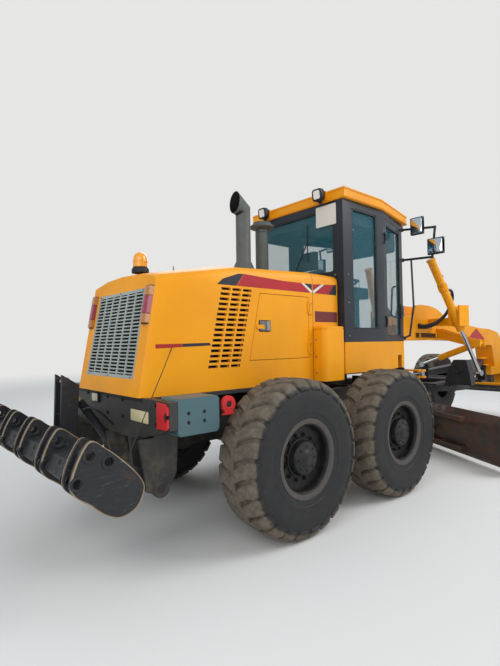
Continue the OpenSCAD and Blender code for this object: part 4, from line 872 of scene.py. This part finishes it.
def cab_trim():
    """Seals, wipers, grab bars, a blank sticker, lining, the roof's rims and ribs, front work lamps."""
    mesh = bmesh.new()
    window_seal(mesh, (-0.612, 2.448), (0.612, 3.202), (CAB_BACK + 0.004, CAB_BACK + 0.022), "x", 0.022)
    window_seal(mesh, (-0.472, 1.678), (0.472, 3.202), (CAB_FRONT - 0.022, CAB_FRONT - 0.004), "x", 0.022)
    for hand in (-1, 1):
        window_seal(mesh, (0.658, 1.798), (1.162, 3.202), wall(hand, CAB_HALF - 0.022, CAB_HALF - 0.004), "y",
                    0.020)
    for hand in (-1, 1):
        for z in (1.72, 2.10, 2.42):
            add_bolt(mesh, (0.575, hand * CAB_HALF, z), (0, hand, 0), 0.007, 1)
        add_rod(mesh, (0.532, hand * 0.640, 2.55), (0.532, hand * 0.640, 3.10), 0.013, 0)
    for y in (-0.62, -0.3, 0.3, 0.62):
        add_bolt(mesh, (CAB_BACK, y, 2.425), (-1, 0, 0), 0.007, 1)
    # rear wiper: motor, arm and blade
    add_rod(mesh, (0.470, 0.05, 2.425), (0.500, 0.05, 2.425), 0.030, 0, 24)
    add_rod(mesh, (0.478, 0.05, 2.425), (0.488, -0.20, 2.860), 0.008, 0)
    add_rod(mesh, (0.496, -0.20, 2.62), (0.496, -0.20, 3.10), 0.007, 0)
    # front wiper
    add_rod(mesh, (2.130, 0.10, 1.655), (2.100, 0.10, 1.655), 0.030, 0, 24)
    add_rod(mesh, (2.128, 0.10, 1.660), (2.114, -0.16, 2.200), 0.008, 0)
    add_rod(mesh, (2.106, -0.16, 1.86), (2.106, -0.16, 2.60), 0.007, 0)
    # blank sticker on the rear window
    add_plate(mesh, rounded_box((-0.647, 3.012), (-0.350, 3.255), 0.010), 0.4875, 0.4893, "x", 2)
    piece("cab_trim", mesh, "rear", BLACK_TRIM_AND_SHADE, BOLT, DECAL_WHITE, smooth=40)
    mesh = bmesh.new()
    inner = [(0.545, -0.685), (1.300, -0.685), (2.055, -0.490), (2.055, 0.490), (1.300, 0.685),
             (0.545, 0.685)]
    add_plate(mesh, inner, 3.236, 3.280, "z", 0, 0.010)
    add_plate(mesh, inner, 1.6505, 1.660, "z", 1, 0.002)
    add_plate(mesh, rounded_box((-0.460, 2.900), (0.460, 3.235), 0.03), 2.030, 2.046, "x", 0, 0.004)
    add_plate(mesh, rounded_box((-0.600, 3.090), (0.600, 3.235), 0.03), 0.548, 0.560, "x", 0, 0.004)
    for hand in (-1, 1):
        add_plate(mesh, rounded_box((0.640, 3.040), (1.180, 3.235), 0.03), *wall(hand, 0.672, 0.684), "y", 0,
                  0.004)
    for x in (0.95, 1.55):
        add_plate(mesh, rounded_box((x - 0.09, -0.09), (x + 0.09, 0.09), 0.03), 3.2285, 3.237, "z", 2, 0.003)
    piece("cab_lining", mesh, "rear", LINING, BLACK_TRIM_AND_SHADE, CLEAR, smooth=40)
    bar = ((2.050, 0.455, 2.420), (2.000, 0.440, 2.400), (1.985, 0.440, 2.330),
           (1.960, 0.440, 2.100), (1.960, 0.440, 2.020), (2.050, 0.455, 1.985))
    for side, hand in HANDS:
        tube(f"inner_grab_{side}", [(x, hand * y, z) for x, y, z in bar], 0.013, "rear", BLACK_TRIM_AND_SHADE)
    mesh = bmesh.new()
    edge = [(0.478, -0.774), (1.241, -0.774), (2.202, -0.562), (2.202, 0.562), (1.241, 0.774), (0.478, 0.774)]
    for z, rise in ((3.300, 0.014), (3.392, 0.012)):
        outer = [(a, b, z) for a, b in edge]
        for (a, b, c), (d, f, g) in zip(outer, outer[1:] + outer[:1]):
            add_rod(mesh, (a, b, c), (d, f, g), rise / 2, 0, 10)
        for a, b, c in outer:
            bmesh.ops.create_uvsphere(mesh, u_segments=10, v_segments=8, radius=rise / 2,
                                      matrix=Matrix.Translation((a, b, c)))
    for x in (0.75, 1.25, 1.75):
        half = 0.70 if x < 1.24 else 0.70 - (x - 1.24) * 0.22
        add_plate(mesh, [(x - 0.02, -half), (x + 0.02, -half), (x + 0.02, half), (x - 0.02, half)], 3.4095,
                  3.420, "z", 0, 0.005)
    piece("roof_trim", mesh, "rear", YELLOW, smooth=50)
    mesh = bmesh.new()
    for hand in (-1, 1):
        work_lamp(mesh, (2.235, hand * 0.400, 3.325), (1, 0, -0.15), 0.062, 0.07)
    piece("front_work_lamps", mesh, "rear", AMBER, RED, BLACK_TRIM_AND_SHADE, CLEAR, smooth=40)


def on_slant(mesh, hand):
    """Moves a piece from the slanted side's plane, x from the kink and y outwards, to its place."""
    bmesh.ops.rotate(mesh, cent=(0, 0, 0), matrix=Matrix.Rotation(-SLANT, 3, "Z"), verts=mesh.verts)
    bmesh.ops.translate(mesh, vec=(KINK, CAB_HALF, 0), verts=mesh.verts)
    if hand < 0:
        bmesh.ops.scale(mesh, vec=(1, -1, 1), verts=mesh.verts)


def door_trim():
    """Seals, handles, locks and hinge bolts of the cab's doors."""
    for side, hand in HANDS:
        mesh = bmesh.new()
        window_seal(mesh, (0.103, 1.713), (0.694, 3.137), (-0.020, -0.002), "y", 0.020, 0)
        add_plate(mesh, rounded_box((0.688, 1.96), (0.744, 2.16), 0.018), 0.0, 0.012, "y", 0, 0.004)
        add_rod(mesh, (0.716, 0.012, 1.985), (0.716, 0.036, 1.995), 0.008, 1)
        add_rod(mesh, (0.716, 0.012, 2.135), (0.716, 0.036, 2.125), 0.008, 1)
        add_rod(mesh, (0.716, 0.036, 1.985), (0.716, 0.036, 2.135), 0.010, 1)
        for z in (1.9, 3.0 - 0.04):
            for dz in (-0.03, 0.03):
                add_bolt(mesh, (0.085, 0.0, z + dz), (0, 1, 0), 0.006, 1)
        on_slant(mesh, hand)
        piece(f"cab_door_trim_{side}", mesh, f"cab_door_{side}", BLACK_TRIM_AND_SHADE, BOLT, smooth=40)


def mirrors():
    """Mirror housings with rounded edges and silvered glass, and step treads."""
    mesh = bmesh.new()
    x = CAB_FRONT + 0.050
    for hand in (-1, 1):
        for low, high in (((0.650, 3.115), (0.830, 3.350)), ((0.890, 2.805), (1.105, 3.020))):
            box = rounded_box(low, high, 0.028)
            inner = rounded_box((low[0] + 0.012, low[1] + 0.012), (high[0] - 0.012, high[1] - 0.012), 0.020)
            add_plate(mesh, [(hand * a, b) for a, b in box], x - 0.0235, x + 0.0235, "x", 0, 0.010)
            add_plate(mesh, [(hand * a, b) for a, b in inner], x - 0.0255, x - 0.0236, "x", 1, 0.0006)
        for z in (0.8105, 1.0505):
            for k in range(6):
                a = 1.60 + k * 0.05
                add_plate(mesh, [(a, hand * 0.68), (a + 0.018, hand * 0.68), (a + 0.018, hand * 0.83),
                                 (a, hand * 0.83)], z, z + 0.004, "z", 2, 0.001)
    piece("mirrors", mesh, "rear", BLACK_TRIM_AND_SHADE, MIRROR, BOLT, smooth=40)


def cushion(mesh, low, high, crown, channels, up="z", n=28):
    """A crowned cushion: edges pulled in, a piped seam round its middle and sewn channels across it."""
    low, high = Vector(low), Vector(high)
    axes = {"z": (0, 1, 2), "x": (2, 1, 0)}[up]
    size, mid = high - low, (low + high) / 2
    a, b, c = axes

    def spot(u, v, share):
        """Half of the cushion's thickness at a place, share 1 on its upper side."""
        fall = (1 - abs(u) ** 4) * (1 - abs(v) ** 4)
        thick = 0.62 + 0.38 * max(0.0, fall) ** 0.5
        groove = sum(math.exp(-((v - w) / 0.035) ** 2) + math.exp(-((v + w) / 0.035) ** 2) for w in channels)
        soft = 1 - crown * 0.5 * min(1.0, groove) if share > 0 else 1.0
        pull = 1 - 0.03 * (1 - abs(u * v))
        p = [0.0, 0.0, 0.0]
        p[a] = mid[a] + u * size[a] / 2 * pull
        p[b] = mid[b] + v * size[b] / 2 * pull
        p[c] = mid[c] + share * size[c] / 2 * thick * soft
        return p
    grids = []
    for share in (1, -1):
        grid = []
        for i in range(n + 1):
            u = math.sin(math.pi / 2 * (2 * i / n - 1))
            grid.append([mesh.verts.new(spot(u, math.sin(math.pi / 2 * (2 * j / n - 1)), share))
                         for j in range(n + 1)])
        grids.append(grid)
        for i in range(n):
            for j in range(n):
                mesh.faces.new((grid[i][j], grid[i + 1][j], grid[i + 1][j + 1], grid[i][j + 1]))
    top_grid, low_grid = grids
    rim = ([(i, 0) for i in range(n)] + [(n, j) for j in range(n)]
           + [(i, n) for i in range(n, 0, -1)] + [(0, j) for j in range(n, 0, -1)])
    for (i, j), (k, m) in zip(rim, rim[1:] + rim[:1]):
        mesh.faces.new((top_grid[i][j], top_grid[k][m], low_grid[k][m], low_grid[i][j]))
    for grid in grids:
        loop = [grid[i][j].co.copy() for i, j in rim]
        for p, q in zip(loop[::2], loop[2::2] + loop[:1]):
            if (q - p).length > 1e-5:
                add_rod(mesh, p, q, 0.005, 1, 6)


def driver_place():
    """The driver's seat with its cushions, its suspension and arm rests, and the console's levers."""
    floor = 1.650
    mesh = bmesh.new()
    cushion(mesh, (0.735, -0.250, floor + 0.350), (1.235, 0.250, floor + 0.458), 0.22, (0.0, 0.5))
    cushion(mesh, (0.668, -0.235, floor + 0.470), (0.775, 0.235, floor + 0.900), 0.22, (0.0, 0.5), "x")
    cushion(mesh, (0.672, -0.150, floor + 0.925), (0.768, 0.150, floor + 1.145), 0.15, (), "x", n=18)
    seat = piece("seat_cushions", mesh, "rear", FABRIC, BLACK_TRIM_AND_SHADE, smooth=60)
    mesh = bmesh.new()
    for k in range(7):
        grow = 0.012 if k % 2 else 0.0
        z = floor + 0.06 + k * 0.036
        outline = rounded_box((0.775 - grow, -0.145 - grow), (1.165 + grow, 0.145 + grow), 0.05)
        add_plate(mesh, outline, z, z + 0.036, "z", 0, 0.010)
    add_plate(mesh, rounded_box((0.765, -0.150), (1.175, 0.150), 0.02), floor, floor + 0.055, "z", 1, 0.004)
    add_plate(mesh, rounded_box((0.725, -0.240), (1.220, 0.240), 0.03), floor + 0.315, floor + 0.352, "z", 1,
              0.008)
    for hand in (-1, 1):
        add_plate(mesh, rounded_box((0.80, floor + 0.620), (1.13, floor + 0.660), 0.018),
                  *wall(hand, 0.256, 0.315), "y", 0, 0.010)
        add_rod(mesh, (0.745, hand * 0.262, floor + 0.640), (0.82, hand * 0.285, floor + 0.640), 0.012, 1)
    for z in (floor + 0.895, floor + 0.932):
        for y in (-0.06, 0.06):
            add_rod(mesh, (0.720, y, z - 0.02), (0.720, y, z + 0.02), 0.006, 1)
    base = piece("seat_base", mesh, "rear", BLACK_TRIM_AND_SHADE, BLACK, smooth=40)
    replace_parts(seat, "seat")
    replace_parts(base, "seat")
    mesh = bmesh.new()
    for hand in (-1, 1):
        for k in range(4):
            y = hand * (0.06 + 0.045 * k)
            add_rod(mesh, (1.50 + 0.02 * k, y, floor + 0.739), (1.49 + 0.02 * k, y, floor + 0.830), 0.005, 1)
            bmesh.ops.create_uvsphere(mesh, u_segments=14, v_segments=10, radius=0.014,
                                      matrix=Matrix.Translation((1.49 + 0.02 * k, y, floor + 0.838)))
    add_plate(mesh, rounded_box((1.452, -0.215), (1.700, 0.215), 0.02), floor + 0.7405, floor + 0.744, "z", 0,
              0.001)
    piece("console_levers", mesh, "rear", BLACK_TRIM_AND_SHADE, BOLT, smooth=50)


cab_trim()
door_trim()
mirrors()
driver_place()


# WHEELS

def wheel_trim():
    """Flange lip, lock ring, nuts, hub cap and valve of one wheel, its outside towards +Y."""
    mesh = bmesh.new()
    turned = [
        # radius and height of the ring sections, material
        # the flange lip: scuffed steel, partly lightened as a painted highlight
        ([(0.290, 0.176), (0.296, 0.190), (0.306, 0.1935), (0.316, 0.1955), (0.330, 0.1985), (0.337, 0.1975),
          (0.339, 0.192), (0.330, 0.186)], 0),
        ([(0.2775, 0.150), (0.284, 0.170), (0.2895, 0.174), (0.291, 0.168)], 1),
        ([(0.302, 0.0925), (0.285, 0.098), (0.255, 0.094), (0.215, 0.0925)], 1),
        ([(0.139, 0.162), (0.132, 0.172), (0.118, 0.176), (0.086, 0.180), (0.074, 0.184), (0.060, 0.196),
          (0.040, 0.203), (0.0, 0.205)], 1),
        ([(0.165, 0.0925), (0.163, 0.108), (0.151, 0.112)], 1),
    ]
    for outline, index in turned:
        add_turned(mesh, outline, (0, 0, 0), (0, 1, 0), 72, index)
    for k in range(12):
        t = 2 * math.pi * (k + 0.5) / 12
        x, z = 0.192 * math.cos(t), 0.192 * math.sin(t)
        add_rod(mesh, (x, 0.0922, z), (x, 0.096, z), 0.019, 2, 20)
        add_rod(mesh, (x, 0.096, z), (x, 0.116, z), 0.0145, 2, 6)
        add_rod(mesh, (x, 0.116, z), (x, 0.126, z), 0.008, 2, 10)
    for k in range(8):
        t = 2 * math.pi * k / 8
        add_bolt(mesh, (0.104 * math.cos(t), 0.1775, 0.104 * math.sin(t)), (0, 1, 0), 0.008, 2)
    add_rod(mesh, (0.262, 0.090, 0.03), (0.268, 0.150, 0.03), 0.005, 2, 10)
    add_rod(mesh, (0.268, 0.148, 0.03), (0.269, 0.168, 0.03), 0.008, 3, 12)
    return mesh_data("wheel_trim", mesh, (BEAD_SCUFF_AND_HIGHLIGHT, RIM_DARK, NUT_DARK, BLACK_TRIM_AND_SHADE), 32)


TRIM = wheel_trim()
for place, hand, x in WHEELS:
    on_wheel("wheel_trim", TRIM, place, hand, x)


# REAR END

BUMPER = -1.960


def bumper_trim():
    """Tie-down lugs with a slot of painted shade, a blank plate, a lamp, bolts, a strip of painted shadow
    under the hood's edge, and the boxes at both ends of the bumper.
    """
    mesh = bmesh.new()
    for hand in (-1, 1):
        y = hand * 0.990
        out = hand * 0.056
        lug = [(y - hand * 0.098, 1.038), (y + out * 0.7, 1.044), (y + out, 1.060), (y + out, 1.122),
               (y + hand * 0.010, 1.122),
               (y + hand * 0.010, 1.150), (y + out, 1.150), (y + out, 1.205), (y + out * 0.3, 1.228),
               (y - hand * 0.098, 1.232)]
        add_plate(mesh, lug, BUMPER - 0.018, BUMPER, "x", 0, 0.003)
        # a dark film of painted shade for the slot through the lug
        add_plate(mesh, rounded_box((y - 0.045, 1.100), (y - 0.020, 1.170), 0.010), BUMPER - 0.0185,
                  BUMPER - 0.017, "x", 2)
        ear = arc((-1.395, 1.172), 0.068, -60, 240, 20)
        add_plate(mesh, ear + [(-1.455, 1.090), (-1.335, 1.090)], *wall(hand, 0.985, 1.012), "y", 0, 0.003)
        add_ring(mesh, (-1.395, hand * 1.012, 1.172), (0, hand, 0), 0.026, 0.040, 0.004, 0)
        add_rod(mesh, (-1.395, hand * 1.0115, 1.172), (-1.395, hand * 1.0125, 1.172), 0.026, 2, 24)
    # a dark strip of painted shadow under the hood's lower edge
    add_plate(mesh, [(-0.655, 1.206), (0.655, 1.206), (0.655, 1.243), (-0.655, 1.243)], BUMPER - 0.0015,
              BUMPER, "x", 2)
    for y in (-0.86, -0.30, 0.0, 0.45, 0.80):
        add_bolt(mesh, (BUMPER, y, 1.205), (-1, 0, 0), 0.012, 1)
        add_bolt(mesh, (BUMPER, y, 1.065), (-1, 0, 0), 0.012, 1)
    add_plate(mesh, rounded_box((-0.742, 1.052), (-0.452, 1.142), 0.008), BUMPER - 0.004, BUMPER, "x", 3,
              0.001)
    add_plate(mesh, rounded_box((0.170, 1.136), (0.312, 1.222), 0.015), BUMPER - 0.020, BUMPER, "x", 2, 0.004)
    add_plate(mesh, rounded_box((0.180, 1.144), (0.302, 1.214), 0.012), BUMPER - 0.024, BUMPER - 0.018, "x",
              4, 0.002)
    piece("bumper_trim", mesh, "rear", RED_PAINT, NUT_DARK, BLACK_TRIM_AND_SHADE, CREAM, CREAM_LENS, smooth=40)
    mesh = bmesh.new()
    for hand in (-1, 1):
        outline = rounded_box((-1.889, 0.986), (-1.521, 1.259), 0.022, 6)
        add_plate(mesh, outline, *wall(hand, 0.796, 1.049), "y", 0, 0.018)
        for a in (-1.800, -1.660):
            for z in (1.082, 1.150):
                add_bolt(mesh, (a, hand * 1.0488, z), (0, hand, 0), 0.009, 1)
    boxes = piece("side_boxes", mesh, "rear", GREY_GREEN, NUT_DARK, smooth=40)
    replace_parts(boxes, "tool_boxes")


HOLDER = [(0.0, 0.838), (0.102, 1.082), (0.218, 1.031), (0.365, 0.902), (0.448, 0.799),
          (0.463, 0.729), (0.415, 0.635), (0.312, 0.595), (0.214, 0.630), (0.122, 0.708)]


def toward(centre, p, length):
    """The place at a distance from a centre on the way to p."""
    far = math.dist(centre, p)
    return (centre[0] + (p[0] - centre[0]) * length / far, centre[1] + (p[1] - centre[1]) * length / far)


def reach(centre, p, corners):
    """How far a polygon reaches from a centre on the way to p."""
    dx, dy = p[0] - centre[0], p[1] - centre[1]
    best = 0.0
    for (ax, ay), (bx, by) in zip(corners, corners[1:] + corners[:1]):
        ex, ey = bx - ax, by - ay
        det = dx * ey - dy * ex
        if abs(det) > 1e-12:
            t = ((ax - centre[0]) * ey - (ay - centre[1]) * ex) / det
            s = ((ax - centre[0]) * dy - (ay - centre[1]) * dx) / det
            if t > 0 and -1e-6 <= s <= 1 + 1e-6:
                best = max(best, t * math.hypot(dx, dy))
    return best


def smooth_loop(corners, steps):
    """A closed curve through corners."""
    points = []
    n = len(corners)
    for i in range(n):
        p, q, r, s = (Vector(corners[(i + k) % n]) for k in (-1, 0, 1, 2))
        for k in range(steps):
            t = k / steps
            spot = 0.5 * (2 * q + (r - p) * t + (2 * p - 5 * q + 4 * r - s) * t * t
                          + (3 * q - p - 3 * r + s) * t ** 3)
            points.append((spot.x, spot.y))
    return points


def ripper_trim():
    """Edges of the ripper's plates with worn rims, rings at their holes, and small dark rings on the beam,
    their bores filled with discs of painted shade.
    """
    mesh = bmesh.new()
    x0 = -2.700
    corners = [(x0 + a, z) for a, z in HOLDER]
    centre = (x0 + 0.26, 0.83)
    outline = smooth_loop(corners, 6)
    inner = [toward(centre, p, reach(centre, p, corners) * 0.984) for p in outline]
    for k in range(-2, 3):
        for way in (-1, 1):
            y = 0.560 * k + way * 0.060
            strip = (y + way * 0.0174, y + way * 0.006)
            for i in range(len(outline)):
                n = (i + 1) % len(outline)
                quad = [outline[i], outline[n], inner[n], inner[i]]
                add_plate(mesh, quad, y - 0.0172, y + 0.0172, "y", 1)
                worn = [toward(centre, p, 1.0007 * math.dist(centre, p)) for p in (outline[i], outline[n])]
                worn += [toward(centre, p, math.dist(centre, p) - 0.007) for p in (outline[n], outline[i])]
                add_plate(mesh, worn, min(strip), max(strip), "y", 0)
            for a, z in ((0.116, 1.004), (0.230, 0.951), (0.040, 0.855)):
                add_ring(mesh, (x0 + a, y + way * 0.0171, z), (0, way, 0), 0.0285, 0.046, 0.006, 1)
    for k in range(4):
        y = 0.560 * (k - 1.5)
        for a, z in ((0.038, 0.864), (0.058, 0.915)):
            way = Vector((-0.926, 0, 0.379))
            spot = Vector((x0 + a, y, z)) - way * 0.001
            add_ring(mesh, spot, way, 0.015, 0.021, 0.004, 1)
            # a dark disc of painted shade in the ring's bore
            add_rod(mesh, spot, spot + way * 0.002, 0.0155, 2, 24)
    piece("ripper_wear", mesh, "ripper", EDGE, RIPPER, SOOT_AND_SHADE)


bumper_trim()
ripper_trim()
tube("stay_line", [(-1.700, -0.664, 1.633), (-1.842, -0.759, 1.454), (-2.012, -0.868, 1.240),
                   (-2.205, -0.997, 0.997), (-2.268, -1.040, 0.915)],
     0.0035, "rear", HOSE)
tube("ripper_hose_right",
     [(-1.915, -0.10, 0.93), (-1.99, -0.105, 1.00), (-2.09, -0.10, 1.10), (-2.16, -0.06, 1.13),
      (-2.20, -0.045, 1.115)],
     0.011, "rear", HOSE)


# FRONT FRAME, DRAWBAR AND BLADE

NECK = 0.170


def neck_trim():
    """Blank red decals, ball-joint boot, ports, pipes with their clamps, and bolts of the front frame."""
    mesh = bmesh.new()
    for hand in (-1, 1):
        add_plate(mesh, [(5.020, 1.668), (5.838, 1.662), (5.430, 1.880)], *wall(hand, NECK, NECK + 0.0012),
                  "y", 0)
        add_plate(mesh, rounded_box((3.175, 1.850), (3.255, 1.930), 0.015), *wall(hand, NECK, NECK + 0.020),
                  "y", 1, 0.004)
        for x in (2.62, 2.68):
            for z in (1.00, 1.25, 1.50):
                add_bolt(mesh, (x, hand * NECK, z), (0, hand, 0), 0.014, 2)
        # pipes along the beam with their clamps
        for k, z in enumerate((1.700, 1.725, 1.750)):
            add_rod(mesh, (3.10, hand * (NECK + 0.014), z + 0.02), (4.95, hand * (NECK + 0.014), z - 0.01),
                    0.009, 1, 10)
        for x in (3.20, 3.75, 4.30, 4.85):
            lift = 0.02 - 0.03 * (x - 3.1) / 1.85
            add_plate(mesh, [(x - 0.02, 1.685 + lift), (x + 0.02, 1.685 + lift), (x + 0.02, 1.765 + lift),
                             (x - 0.02, 1.765 + lift)],
                      *wall(hand, NECK, NECK + 0.026), "y", 3, 0.003)
    add_turned(mesh, [(0.085, 0.0), (0.11, 0.02), (0.085, 0.04), (0.112, 0.06), (0.086, 0.08), (0.11, 0.10),
                      (0.08, 0.115)],
               (6.010, 0.0, 1.020), (0, 0, 1), 36, 1)
    for y in (-0.215, 0.0, 0.215):
        for z in (0.78, 1.05):
            add_bolt(mesh, (7.010, y, z), (1, 0, 0), 0.014, 2)
    piece("neck_trim", mesh, "front", DECAL_RED, BLACK_TRIM_AND_SHADE, BOLT, YELLOW, smooth=40)


def lift_trim():
    """Collars, bolted end caps and ports on the lift cylinders."""
    top_pin, low_pin = Vector((2.900, 0.550, 2.880)), Vector((3.840, 0.850, 1.120))
    way = (low_pin - top_pin).normalized()
    for side, hand in HANDS:
        mesh = bmesh.new()

        def along(d):
            p = top_pin + way * d
            return Vector((p.x, hand * p.y, p.z))
        flat = along(1) - along(0)
        side_way = flat.normalized()
        u = flat.cross(Vector((0, 1, 0))).normalized()
        v = flat.cross(u).normalized()
        add_rod(mesh, along(-0.004), along(0.008), 0.068, 0, 36)
        for a, b, r in ((0.010, 0.030, 0.069), (0.430, 0.455, 0.069), (0.525, 0.550, 0.069),
                        (1.130, 1.160, 0.068), (1.185, 1.222, 0.064)):
            add_ring(mesh, along(a), side_way, 0.056, r, b - a, 0)
        for k in range(8):
            t = 2 * math.pi * k / 8
            add_bolt(mesh, along(0.0) + (u * math.cos(t) + v * math.sin(t)) * 0.050, -flat, 0.008, 2)
        port = along(0.33)
        add_rod(mesh, port, port + Vector((0.085, 0, 0.045)), 0.022, 0, 16)
        add_rod(mesh, port + Vector((0.070, 0, 0.037)), port + Vector((0.095, 0, 0.050)), 0.026, 2, 6)
        piece(f"lift_trim_{side}", mesh, f"lift_barrel_{side}", YELLOW, BLACK_TRIM_AND_SHADE, BOLT, smooth=40)


# The moldboard: half of its arc, half of its height, its angle to the machine, and its slide along itself.
BLADE_ARC = math.radians(42)
BLADE_HALF = 0.305
BLADE_TURN = math.radians(30)
BLADE_DEEP = BLADE_HALF / math.sin(BLADE_ARC) * (1 - math.cos(BLADE_ARC))
BLADE_SLIDE = (-0.230 + (-0.208 + BLADE_DEEP)) / 2 * math.tan(BLADE_TURN)


def blade_trim():
    """Bolted cutting edge in four lengths with its bolts, and the moldboard's end plates."""
    mesh = bmesh.new()
    radius, lift = BLADE_HALF / math.sin(BLADE_ARC), 0.060
    cx, cz = -0.230 + 0.022 + radius, lift + BLADE_HALF
    half = 4.270 / 2
    angles = [180 + a for a in (42.0, 38, 34, 30, 26, 22, 18)]

    def spot(deg, r):
        t = math.radians(deg)
        return (cx + r * math.cos(t), cz + r * math.sin(t))
    face = [spot(a, radius - 0.019) for a in angles] + [spot(a, radius - 0.0005) for a in reversed(angles)]
    for a, b in ((-half, -1.22), (-1.215, 0.0), (0.005, 1.215), (1.22, half)):
        add_plate(mesh, face, a, b, "y", 0, 0.002)
    (px, pz), (qx, qz) = spot(205.0, radius - 0.019), spot(205.0, radius - 0.03)
    for k in range(28):
        y = -half + 0.075 + k * (2 * half - 0.15) / 27
        add_bolt(mesh, (px, y, pz), (qx - px, 0, qz - pz), 0.012, 1)
    sides = [180 + a for a in range(-42, 43, 6)]
    plate = [spot(a, radius + 0.024) for a in sides] + [spot(a, radius - 0.020) for a in reversed(sides)]
    for y in (-half, half - 0.012):
        add_plate(mesh, plate, y, y + 0.012, "y", 2, 0.002)
    bmesh.ops.translate(mesh, vec=(0, BLADE_SLIDE, 0), verts=mesh.verts)
    bmesh.ops.rotate(mesh, cent=(0, 0, 0), matrix=Matrix.Rotation(-BLADE_TURN, 3, "Z"), verts=mesh.verts)
    bmesh.ops.translate(mesh, vec=(3.500, 0, 0), verts=mesh.verts)
    piece("blade_edge", mesh, "blade", EDGE, BOLT, BLADE, smooth=40)


def circle_trim():
    """Bolts on the circle and the drive housing's cover."""
    mesh = bmesh.new()
    for k in range(24):
        t = 2 * math.pi * (k + 0.5) / 24
        add_bolt(mesh, (3.5 + 0.735 * math.cos(t), 0.735 * math.sin(t), 0.9605), (0, 0, 1), 0.010, 0)
    piece("circle_bolts", mesh, "circle", BOLT)
    mesh = bmesh.new()
    add_ring(mesh, (3.1345, -0.805, 1.230), (-1, 0, 0), 0.040, 0.074, 0.010, 1, 36)
    for k in range(8):
        t = 2 * math.pi * k / 8
        add_bolt(mesh, (3.1345, -0.805 + 0.060 * math.cos(t), 1.230 + 0.060 * math.sin(t)), (-1, 0, 0), 0.007,
                 0)
    piece("drive_trim", mesh, "drawbar", BOLT, BLACK, smooth=40)


neck_trim()
lift_trim()
blade_trim()
circle_trim()

# Routes of the lift cylinders' hoses from the barrel's wall to the neck, on the left side.
LIFT_HOSES = (
    ("a", ((3.223, 0.637, 2.371), (3.330, 0.640, 2.345), (3.440, 0.580, 2.200),
           (3.400, 0.440, 1.990), (3.290, 0.280, 1.900), (3.215, 0.188, 1.895))),
    ("b", ((3.196, 0.629, 2.421), (3.370, 0.640, 2.420), (3.500, 0.570, 2.230),
           (3.440, 0.410, 1.970), (3.300, 0.250, 1.865), (3.215, 0.188, 1.865))),
)
for side, hand in HANDS:
    for mark, route in LIFT_HOSES:
        line = tube(f"lift_hose_{side}_{mark}", [(x, hand * y, z) for x, y, z in route], 0.022, "front", HOSE)
        bend_across(line)


# STUDIO

BACKDROP = "#e6e6e4"


def studio():
    """Pale floor and soft world light."""
    mesh = bmesh.new()
    bmesh.ops.create_grid(mesh, x_segments=2, y_segments=2, size=60)
    data = bpy.data.meshes.new("floor")
    mesh.to_mesh(data)
    mesh.free()
    floor = place_in_scene("floor", data)
    mat, tree, spot, shader = start("pale floor")
    shader.inputs["Base Color"].default_value = linear("#e4e3e0")
    shader.inputs["Roughness"].default_value = 0.9
    # far from the machine the floor melts into the background
    far = add(tree, "VectorMath", {"operation": "LENGTH"}, in0=spot).outputs[1]
    seen = times(tree, ramp(tree, far, 9.0, 26.0), add(tree, "LightPath").outputs["Is Camera Ray"])
    glow = add(tree, "Emission", Color=linear(BACKDROP), Strength=1.0)
    both = add(tree, "MixShader", in0=seen, in1=shader.outputs[0], in2=glow.outputs[0])
    out = next(n for n in tree.nodes if n.type == "OUTPUT_MATERIAL")
    tree.links.new(both.outputs[0], out.inputs[0])
    data.materials.append(mat)

    world = bpy.data.worlds.new("studio")
    world.use_nodes = True
    tree = world.node_tree
    tree.nodes.clear()
    spot = add(tree, "TexCoord").outputs["Generated"]
    up = add(tree, "SeparateXYZ", in0=spot).outputs[2]
    sky = mix(tree, ramp(tree, up, -0.1, 0.7), linear("#f4f3f0"), linear("#dfe7f0"))
    lamp_light = add(tree, "Background", Color=sky, Strength=0.74)
    seen = add(tree, "Background", Color=linear(BACKDROP), Strength=1.0)
    path = add(tree, "LightPath")
    both = add(tree, "MixShader", in0=path.outputs["Is Camera Ray"], in1=lamp_light.outputs[0],
               in2=seen.outputs[0])
    out = tree.nodes.new("ShaderNodeOutputWorld")
    tree.links.new(both.outputs[0], out.inputs[0])
    bpy.context.scene.world = world


LAMPS = [
    # name, place, aims at, size, watts
    ("key", (3.5, -7.0, 8.0), (0, 0, 1.2), 6.0, 560),
    ("fill", (-9.0, -4.0, 5.0), (-2, 0, 1.2), 6.0, 240),
    ("back", (4.0, 8.0, 7.0), (0, 0, 1.2), 6.0, 280),
]


def lamps():
    """Soft boxes round the machine."""
    for name, place, aim, size, watts in LAMPS:
        data = bpy.data.lights.new(name, "AREA")
        data.energy = watts
        data.size = size
        obj = place_in_scene(name, data)
        obj.location = place
        obj.rotation_euler = (Vector(aim) - Vector(place)).to_track_quat("-Z", "Y").to_euler()


studio()
lamps()
bpy.context.scene.view_settings.view_transform = "Standard"
